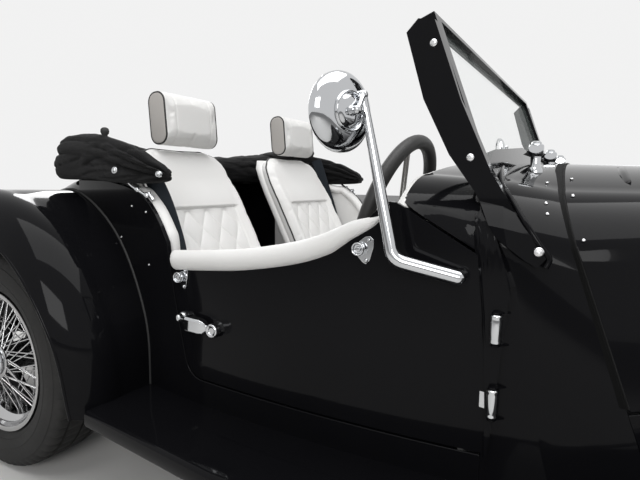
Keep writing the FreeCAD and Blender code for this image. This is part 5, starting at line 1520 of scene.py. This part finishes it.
both("door_hinge_ears", hinge_ears, node="door_hinge_pins", crease=40)
on_doors("mirror_shell", mirror_head, crease=50, replaces=("door_fittings_{side}",))
on_doors("mirror_arm", mirror_arm, crease=50)
on_doors("mirror_glass", mirror_glass, material=MIRROR, crease=40)
on_doors("door_handle", door_handle, crease=28, edge=0.0012)
on_doors("side_screen_brackets", screen_brackets, crease=40, edge=0.0008)


def slotted_screw(form, at, axis, radius):
    """Domed screw head with a ring and a dimple."""
    form.lathe([(0.0, 0.0012), (radius * 0.28, 0.0012), (radius * 0.36, 0.0028), (radius * 0.75, 0.0024),
                (radius, 0.0006), (radius, -0.0015)], at=at, axis=axis, steps=24)


def post_screws():
    form = Form()
    for x, y, z in ((0.086, 0.6095, 1.088), (0.16, 0.6095, 0.884)):
        slotted_screw(form, (x, -y, z), (0, -1, 0), 0.0068)
    slotted_screw(form, (0.2832, -0.63, 0.7277), (0.25, -1, 0.1), 0.0078)
    return form


both("post_screws", post_screws, **SCREWS, crease=40)


def scuttle_line(points, lift):
    """Line on the scuttle's skin through side-view points (x, z), lifted off it."""
    placed = []
    for x, z in points:
        u, v = scuttle_place(x, z)
        here = scuttle_point(u, v)
        across = scuttle_point(u, v + 0.01) - scuttle_point(u, v - 0.01)
        ahead = scuttle_point(u + 0.01, v) - scuttle_point(u - 0.01, v)
        out = across.cross(ahead).normalized()
        if out.y > 0:
            out = -out
        placed.append(here + out * lift)
    return placed


def post_foot_bead():
    form = Form()
    line = scuttle_line([(0.15, 0.897), (0.172, 0.866), (0.205, 0.826), (0.228, 0.798), (0.254, 0.764),
                         (0.278, 0.737), (0.294, 0.716), (0.29, 0.7)], 0.0135)
    form.tube(spline(line, 6), 0.0048)
    return form


both("post_foot_bead", post_foot_bead, crease=60)


def seam_strip():
    """Webbing band on the scuttle under the bonnet's rear edge, with its rolled edge."""
    line = section_line(SEAM, 0.48)
    form = Form().tube([p + Vector((0.0025, 0, 0)) for p in line], 0.003, sides=8)
    rings = []
    for k, p in enumerate(line):
        out = run_at(line, k).cross(Vector((1, 0, 0))).normalized()
        if out.y < 0 or (k == 0 and out.z < 0):
            out = -out
        rings.append([p + Vector((dx, 0, 0)) + out * lift
                      for dx, lift in ((-0.015, -0.0006), (-0.0145, 0.0016), (0.001, 0.0016),
                                       (0.002, -0.0006))])
    form.loft(rings)
    return form.mirrored()


seam_strip().piece("bonnet_seam_strip", SEAM_TAPE, crease=60)


def seam_studs():
    form = Form()
    behind = section_line(between(SCUTTLE_MID, SEAM, 0.7), 0.48, side=-1)
    line = [p + Vector((0.018, 0, 0)) for p in section_line(SEAM, 0.48, side=-1)]
    for k, points in ((15, line), (17, behind), (21, line), (24, behind), (26, behind), (29, line)):
        p = points[k]
        normal = Vector((0, p.y, 0.6 if k < 20 else 0.15)).normalized()
        slotted_screw(form, p + normal * 0.0008, normal, 0.0032)
    return form


both("scuttle_studs", seam_studs, **SCREWS, crease=40)


def quarter_studs():
    form = Form()
    for x, z in ((-0.787, 0.68), (-0.778, 0.625), (-0.895, 0.602), (-0.728, 0.768), (-0.663, 0.755),
                 (-0.656, 0.617)):
        slotted_screw(form, (x, -(tub_y(x) - 0.0004), z), (0, -1, 0), 0.0038)
    return form


both("quarter_studs", quarter_studs, **SCREWS, crease=40)


# Hood fittings
def hood_fittings():
    form = Form()
    for spot, radius in (((-0.77, -0.645, 0.873), 1.0), ((-0.606, -0.62, 0.853), 0.85)):
        at = on_surface(hood, [spot], 0.0004)[0]
        form.lathe([(0.0, 0.0065), (0.0035 * radius, 0.006), (0.0055 * radius, 0.0035),
                    (0.0085 * radius, 0.0045), (0.0105 * radius, 0.002), (0.0105 * radius, -0.003)], at=at,
                    axis=(0.1, -1, 0.1), steps=28)
    path = [(-0.738, -0.608, 0.844), (-0.724, -0.61, 0.826), (-0.7, -0.608, 0.812), (-0.672, -0.602, 0.797)]
    form.tube(spline(path, 5), 0.0042)
    for at in (path[0], path[2]):
        form.ball(at, 0.0085, steps=18, squash=(1, 0.7, 1))
    form.ball(path[3], 0.0095, steps=18, squash=(1, 0.7, 1))
    form.tube([(-0.752, -0.606, 0.838), (-0.722, -0.607, 0.846)], 0.0055, sides=14)
    form.tube([(-0.664, -0.6, 0.806), (-0.652, -0.598, 0.786)], 0.005, sides=14)
    return form


both("hood_frame_joint", hood_fittings, **CHROMED, crease=45, edge=0.0008)


def hood_knob():
    return Form().lathe([(0.0, 0.026), (0.006, 0.0255), (0.0105, 0.022), (0.012, 0.015), (0.01, 0.008),
                         (0.006, 0.004), (0.006, -0.006)], at=(-0.868, -0.57, 0.958), axis=(-0.15, 0, 1),
                        steps=28)


both("hood_knob", hood_knob, **BLACK_TRIM, crease=50)


# Steering wheel
SPOKE_SECTION = ((-0.0045, -0.012), (0.0045, -0.012), (0.0045, -0.0085), (-0.0045, -0.0085))
RIM_RADIUS = 0.187
COLUMN_SLOPE = math.radians(18)
WHEEL_AT = Vector((-0.089, -0.316, 0.76))
WHEEL_AXIS = Vector((-math.cos(COLUMN_SLOPE), 0, math.sin(COLUMN_SLOPE)))
WHEEL_TURN = Vector((0, 0, 1)).rotation_difference(WHEEL_AXIS).to_matrix().to_4x4()
WHEEL_PLACE = Matrix.Translation(WHEEL_AT) @ WHEEL_TURN
ring = [Vector((RIM_RADIUS * math.cos(a), RIM_RADIUS * math.sin(a), 0))
        for a in (2 * math.pi * k / 120 for k in range(120))]
rim = Form().tube(ring, 0.0172, sides=24, closed=True)
rim.lathe([(0.0, 0.004), (0.02, 0.004), (0.03, 0.0), (0.0335, -0.008), (0.0335, -0.028), (0.0, -0.03)],
          axis=(0, 0, 1))
rim.moved(WHEEL_PLACE).piece("steering_rim", GRIP, "steering_wheel", "grip_leather", crease=40,
                             replaces=("steering_wheel",))
rim = Form()
for k in range(3):
    turn = Matrix.Rotation(math.radians(90 + 120 * k), 4, "Z")
    for y in (-0.009, 0.009):
        rim.loft([[turn @ Vector((x, y * s + dy, z)) for dy, z in SPOKE_SECTION]
                  for x, s in ((0.026, 1.0), (0.08, 0.95), (0.13, 0.9), (0.175, 0.85))])
rim.moved(WHEEL_PLACE).piece("steering_spokes", STEEL, "steering_wheel", "grip_leather", crease=40,
                             edge=0.0006)


# Dashboard
DASH_FACE_X = 0.057


def dial(form, face, y, z, radius):
    form.lathe([(radius * 0.86, 0.002), (radius * 0.9, 0.0065), (radius * 0.97, 0.008), (radius, 0.005),
                (radius, -0.002)], at=(DASH_FACE_X, y, z), axis=(-1, 0, 0), steps=40)
    face.lathe([(0.0, 0.0022), (radius * 0.88, 0.0022), (radius * 0.88, 0.0)], at=(DASH_FACE_X, y, z),
               axis=(-1, 0, 0), steps=40)


bezels, faces, marks = Form(), Form(), Form()
for y, z, radius in ((-0.405, 0.795, 0.048), (-0.245, 0.8, 0.048), (-0.085, 0.805, 0.028),
                     (0.0, 0.805, 0.028), (0.085, 0.805, 0.028)):
    dial(bezels, faces, y, z, radius)
    for k in range(11):
        a = math.radians(-130 + 26 * k)
        spot = Vector((0.0545, y + radius * 0.72 * math.sin(a), z + radius * 0.72 * math.cos(a)))
        marks.block(spot - Vector((0.0002, 0.0007, 0.0022)), spot + Vector((0.0002, 0.0007, 0.0022)))
    a = math.radians(-110)
    marks.tube([(0.054, y, z), (0.054, y + radius * 0.62 * math.sin(a), z + radius * 0.62 * math.cos(a))],
               [0.0013, 0.0004], sides=6)
bezels.piece("dial_bezels", **CHROMED, crease=40)
faces.piece("dial_faces", DARK, slot="trim_leather", crease=40)
marks.piece("dial_marks", **SCREWS, crease=40)
switches = Form()
for k in range(6):
    switches.lathe([(0.0, 0.016), (0.0045, 0.0155), (0.006, 0.012), (0.0045, 0.008), (0.005, 0.004),
                    (0.008, 0.003), (0.008, -0.001)], at=(DASH_FACE_X, -0.125 + 0.05 * k, 0.735),
                    axis=(-1, 0, 0), steps=24)
switches.piece("dash_switches", **CHROMED, crease=40)


def dash_roll():
    """Padded leather edge along the top of the dash, following the scuttle."""
    line = section_line(DASH, 0.7, inset=0.013, side=-1)
    return Form().tube([p + Vector((-0.002, 0, 0)) for p in line], 0.0125, sides=16).mirrored()


dash_roll().piece("dash_top_roll", **LEATHER, crease=70)


# Wipers
def wipers():
    arms, blades = Form(), Form()
    for y in (-0.33, -0.03, 0.27):
        arms.lathe([(0.0, 0.0865), (0.0065, 0.0865), (0.01, 0.084), (0.011, 0.08), (0.015, 0.078),
                    (0.016, 0.074), (0.016, 0.06), (0.014, 0.056), (0.0105, 0.053), (0.01, 0.033),
                    (0.014, 0.028), (0.0165, 0.02), (0.017, -0.01)], at=(0.233, y, 0.845), axis=(0, 0, 1),
                    steps=32)
        start = Vector((0.235, y - 0.022, 0.913))
        tip = Vector((0.206, y + 0.205, 0.917 - abs(y + 0.21) / 30))
        arms.tube([start, start.lerp(tip, 0.12), start.lerp(tip, 0.35) + Vector((0, 0, 0.005)),
                   start.lerp(tip, 0.8) + Vector((0, 0, 0.003)), tip],
                   [0.014, 0.015, 0.012, 0.0085, 0.0065], sides=16, flat=0.6)
        arms.tube([tip - Vector((0, 0.012, 0)), tip + Vector((0, 0.012, 0))], 0.0072, sides=16)
        low, high = tip - Vector((0, 0.125, 0.001)), tip + Vector((0, 0.098, -0.001))
        arms.tube([low, low.lerp(high, 0.25) + Vector((0, 0, 0.002)),
                   low.lerp(high, 0.5) + Vector((0, 0, 0.0035)),
                   low.lerp(high, 0.75) + Vector((0, 0, 0.002)), high], 0.0036)
        outline = ((-0.0105, -0.0045), (-0.001, -0.006), (0.0015, -0.001), (-0.003, 0.0005))
        blades.loft([[p + Vector((dx, 0, dz)) for dx, dz in outline] for p in (low, high)])
    arms.piece("wiper_arms", **CHROMED, crease=40, replaces=("wipers",))
    blades.piece("wiper_blades", **BLACK_TRIM, crease=40)


wipers()


# Lamps, grille, bumpers
def headlamps():
    shell, glass, inner = Form(), Form(), Form()
    at = (1.491, -0.405, 0.7)
    shell.lathe([(0.0, 0.0), (0.022, 0.002), (0.044, 0.012), (0.064, 0.03), (0.078, 0.052), (0.086, 0.074),
                 (0.0885, 0.09), (0.0925, 0.092), (0.0935, 0.098), (0.0925, 0.106), (0.089, 0.1245),
                 (0.085, 0.1265), (0.0815, 0.124), (0.0815, 0.095), (0.06, 0.06), (0.0, 0.03)], at=at,
                 axis=(1, 0, 0), steps=72)
    shell.tube([(1.56, -0.405, 0.632), (1.56, -0.405, 0.56)], [0.02, 0.026], sides=24)
    inner.lathe([(0.0, 0.058), (0.02, 0.06), (0.045, 0.072), (0.066, 0.09), (0.0812, 0.112)], at=at,
                axis=(1, 0, 0), steps=56)
    inner.ball(Vector(at) + Vector((0.078, 0, 0)), 0.011, steps=18)
    glass.lathe([(0.0, 0.136), (0.03, 0.135), (0.055, 0.131), (0.074, 0.124), (0.0812, 0.119)], at=at,
                axis=(1, 0, 0), steps=56)
    return shell, inner, glass


def small_lamps():
    shells, clear, red = Form(), Form(), Form()
    at = (1.665, -0.69, 0.722)
    shells.lathe([(0.0, 0.0), (0.007, 0.002), (0.015, 0.01), (0.021, 0.024), (0.0235, 0.042),
                  (0.0245, 0.05), (0.0255, 0.054), (0.0245, 0.058), (0.0215, 0.059)], at=at, axis=(1, 0, 0),
                  steps=40)
    shells.tube([(1.7, -0.69, 0.702), (1.7, -0.69, 0.668)], [0.008, 0.012], sides=20)
    clear.lathe([(0.0, 0.0715), (0.01, 0.07), (0.018, 0.0655), (0.0215, 0.059), (0.0215, 0.052)], at=at,
                axis=(1, 0, 0), steps=40)
    back = (-1.69, -0.69, 0.47)
    shells.lathe([(0.03528, -0.002), (0.0378, 0.002), (0.0378, 0.03), (0.03492, 0.036), (0.0324, 0.036)],
                 at=back, axis=(-1, 0, 0))
    red.lathe([(0.0, 0.048), (0.018, 0.046), (0.02952, 0.04), (0.03348, 0.033)], at=back, axis=(-1, 0, 0))
    return shells, clear, red


def lamp_pieces(forms, node, names, materials, walls):
    """The parts of a pair of lamps; the first one replaces the node."""
    for form, name, material, wall in zip(forms, names, materials, walls):
        form.mirrored().piece(name, material, slot="lamp_chrome", crease=40, wall=wall,
                              replaces=(node,) if form is forms[0] else ())


lamp_pieces(headlamps(), "headlamps", ("headlamp_shell", "headlamp_reflector", "headlamp_glass"),
            (CHROME, MIRROR, LAMP_GLASS), (0, 0, 0.0015))
lamp_pieces(small_lamps(), "small_lamps", ("small_lamp_shells", "side_lamp_lenses", "tail_lamp_lenses"),
            (CHROME, AMBER, RED), (0, 0.0015, 0.0015))


def bumper(name, node, face, sign, rail_end):
    """Chrome bar with rolled edges, swept back at its ends, on two brackets."""
    form = Form()
    path = spline([Vector((face - sign * back, y, 0.415))
                   for back, y in ((0.098, -0.69), (0.058, -0.6), (0.03, -0.48), (0.022, -0.3), (0.02, 0.0),
                                   (0.022, 0.3), (0.03, 0.48), (0.058, 0.6), (0.098, 0.69))], 8)
    outline = [(0.018, -0.03), (0.018, 0.03), (0.012, 0.0325), (0.002, 0.026), (-0.006, 0.014),
               (-0.008, 0.0), (-0.006, -0.014), (0.002, -0.026), (0.012, -0.0325)]
    rings = []
    for i, p in enumerate(path):
        run = run_at(path, i).normalized()
        inward = Vector((-run.y, run.x, 0)) * sign
        rings.append([p + inward * d + Vector((0, 0, h)) for d, h in outline])
    form.loft(rings)
    form.piece(name, **CHROMED, crease=32, edge=0.001, replaces=(node,))
    arms = Form()
    for y in (-0.33, 0.33):
        arms.tube(spline([(rail_end, y, 0.2), (rail_end + sign * 0.15, y, 0.215),
                          (face - sign * 0.1, y, 0.375), (face - sign * 0.024, y, 0.412)], 5), 0.011,
                          flat=1.6)
    arms.piece(name + "_brackets", CHASSIS, slot="chassis_paint", crease=50)


bumper("front_bumper_bar", "front_bumper", 2.005, 1, 1.695)
bumper("rear_bumper_bar", "rear_bumper", -2.005, -1, -1.685)

grille_form = Form()
for i in range(-9, 10):
    y = 0.0265 * i
    points = []
    for k in range(9):
        z = 0.466 + (0.806 - 0.003 * i * i * 0.55 - 0.466) * k / 8
        points.append((1.539 + 0.22 * (0.85 - z) + 0.006 * math.sin(math.pi * k / 8), y, z))
    grille_form.tube(points, 0.0042, sides=10, up=(1, 0, 0))
grille_form.piece("grille_bars", **CHROMED, crease=50, replaces=("grille",))
surround = Form().tube(full_section(FACE, 0.462, inset=0.0235, shift=0.004), 0.0058, closed=True)
surround.piece("grille_surround", **CHROMED, crease=60)

SPARE_LEAN = math.radians(38)
spare_axis = Vector((-math.sin(SPARE_LEAN), 0, math.cos(SPARE_LEAN)))
wheel_pieces("spare", Vector((-1.612, 0, 0.628)) + spare_axis * 0.0203, spare_axis, "car", "spare_wheel",
             "spare_wheel", squeeze=0.877)


# Parts of the frame that keep their shape
KEPT = {
    CHASSIS: ("chassis_frame", "front_cross_frame", "rear_axle", "leaf_springs", "fuel_tank",
              "steering_column", "knuckle_left", "knuckle_right"),
    IRON: ("engine",),
    STEEL: ("exhaust",),
    CARPET: ("floor_and_tunnel",),
    CHROME: ("bonnet_hinge", "levers"),
    PAINT: ("front_apron", "windscreen_frame"),
    CREAM: ("dashboard",),
    SCREEN_GLASS: ("windscreen_glass",),
}
for material, names in KEPT.items():
    for name in names:
        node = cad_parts[name]
        node.data.materials.clear()
        node.data.materials.append(material)

# Floor, light and camera
stage_paint = Finish("pale floor", Specular_IOR_Level=0.2)
scuff = stage_paint.noise(1.5, 4)
stage_paint.set(Base_Color=stage_paint.blend(scuff, (0.8, 0.79, 0.77), (0.76, 0.75, 0.73)),
                Roughness=0.75 + 0.1 * scuff)
floor_form = Form().grid([[(-30, -30, 0), (30, -30, 0)], [(-30, 30, 0), (30, 30, 0)]])
floor_data = bpy.data.meshes.new("floor")
floor_form.mesh.to_mesh(floor_data)
floor_data.materials.append(stage_paint.material)
floor = new_object("floor", floor_data)

world = bpy.data.worlds.new("soft room")
bpy.context.scene.world = world
world.use_nodes = True
tree = world.node_tree
tree.nodes.clear()


def world_node(kind, *feeds):
    """A node of the world, with a value or another node's output for each of its sockets in turn."""
    node = tree.nodes.new("ShaderNode" + kind)
    for socket, value in zip(node.inputs, feeds):
        if isinstance(value, bpy.types.NodeSocket):
            tree.links.new(value, socket)
        else:
            socket.default_value = value
    return node


rays = world_node("LightPath").outputs
direct = world_node("Math", rays["Is Camera Ray"], rays["Is Transmission Ray"])
seen = world_node("Math", direct.outputs[0], rays["Is Glossy Ray"])
direct.operation = seen.operation = "MAXIMUM"
room = world_node("Background", (0.62, 0.63, 0.65, 1), 0.42)
white = world_node("Background", (0.93, 0.93, 0.93, 1), 0.95)
either = world_node("MixShader", seen.outputs[0], room.outputs[0], white.outputs[0])
world_node("OutputWorld", either.outputs[0])


def lamp(name, at, target, power, width, height):
    """Soft rectangular lamp that faces its target."""
    data = bpy.data.lights.new(name, "AREA")
    data.shape = "RECTANGLE"
    data.size = width
    data.size_y = height
    data.energy = power
    item = new_object(name, data)
    item.location = at
    item.rotation_euler = (Vector(target) - Vector(at)).to_track_quat("-Z", "Y").to_euler()


lamp("ceiling light", (0.5, -0.5, 4.2), (0, 0, 0.4), 170, 5.0, 3.2)
lamp("side light", (1.8, -5.0, 2.6), (0, 0, 0.6), 105, 2.8, 1.8)
lamp("rear light", (-4.5, 3.0, 2.8), (-0.4, 0, 0.6), 70, 2.4, 1.6)

FOCAL_PIXELS = 501.8
CAMERA_AT = (0.377, -1.517, 0.838)
yaw, pitch, roll = (math.radians(a) for a in (29.82, 6.59, 0.68))
forward = Vector((-math.sin(yaw) * math.cos(pitch), math.cos(yaw) * math.cos(pitch), -math.sin(pitch)))
level_right = Vector((math.cos(yaw), math.sin(yaw), 0))
level_up = level_right.cross(forward)
right = level_right * math.cos(roll) + level_up * math.sin(roll)
up = level_up * math.cos(roll) - level_right * math.sin(roll)
camera_data = bpy.data.cameras.new("camera")
camera_data.sensor_width = 36
camera_data.lens = FOCAL_PIXELS / 640 * camera_data.sensor_width
camera = new_object("camera", camera_data)
camera.matrix_world = Matrix.Translation(CAMERA_AT) @ Matrix((right, up, -forward)).transposed().to_4x4()
bpy.context.scene.camera = camera
bpy.context.scene.view_settings.view_transform = "Standard"
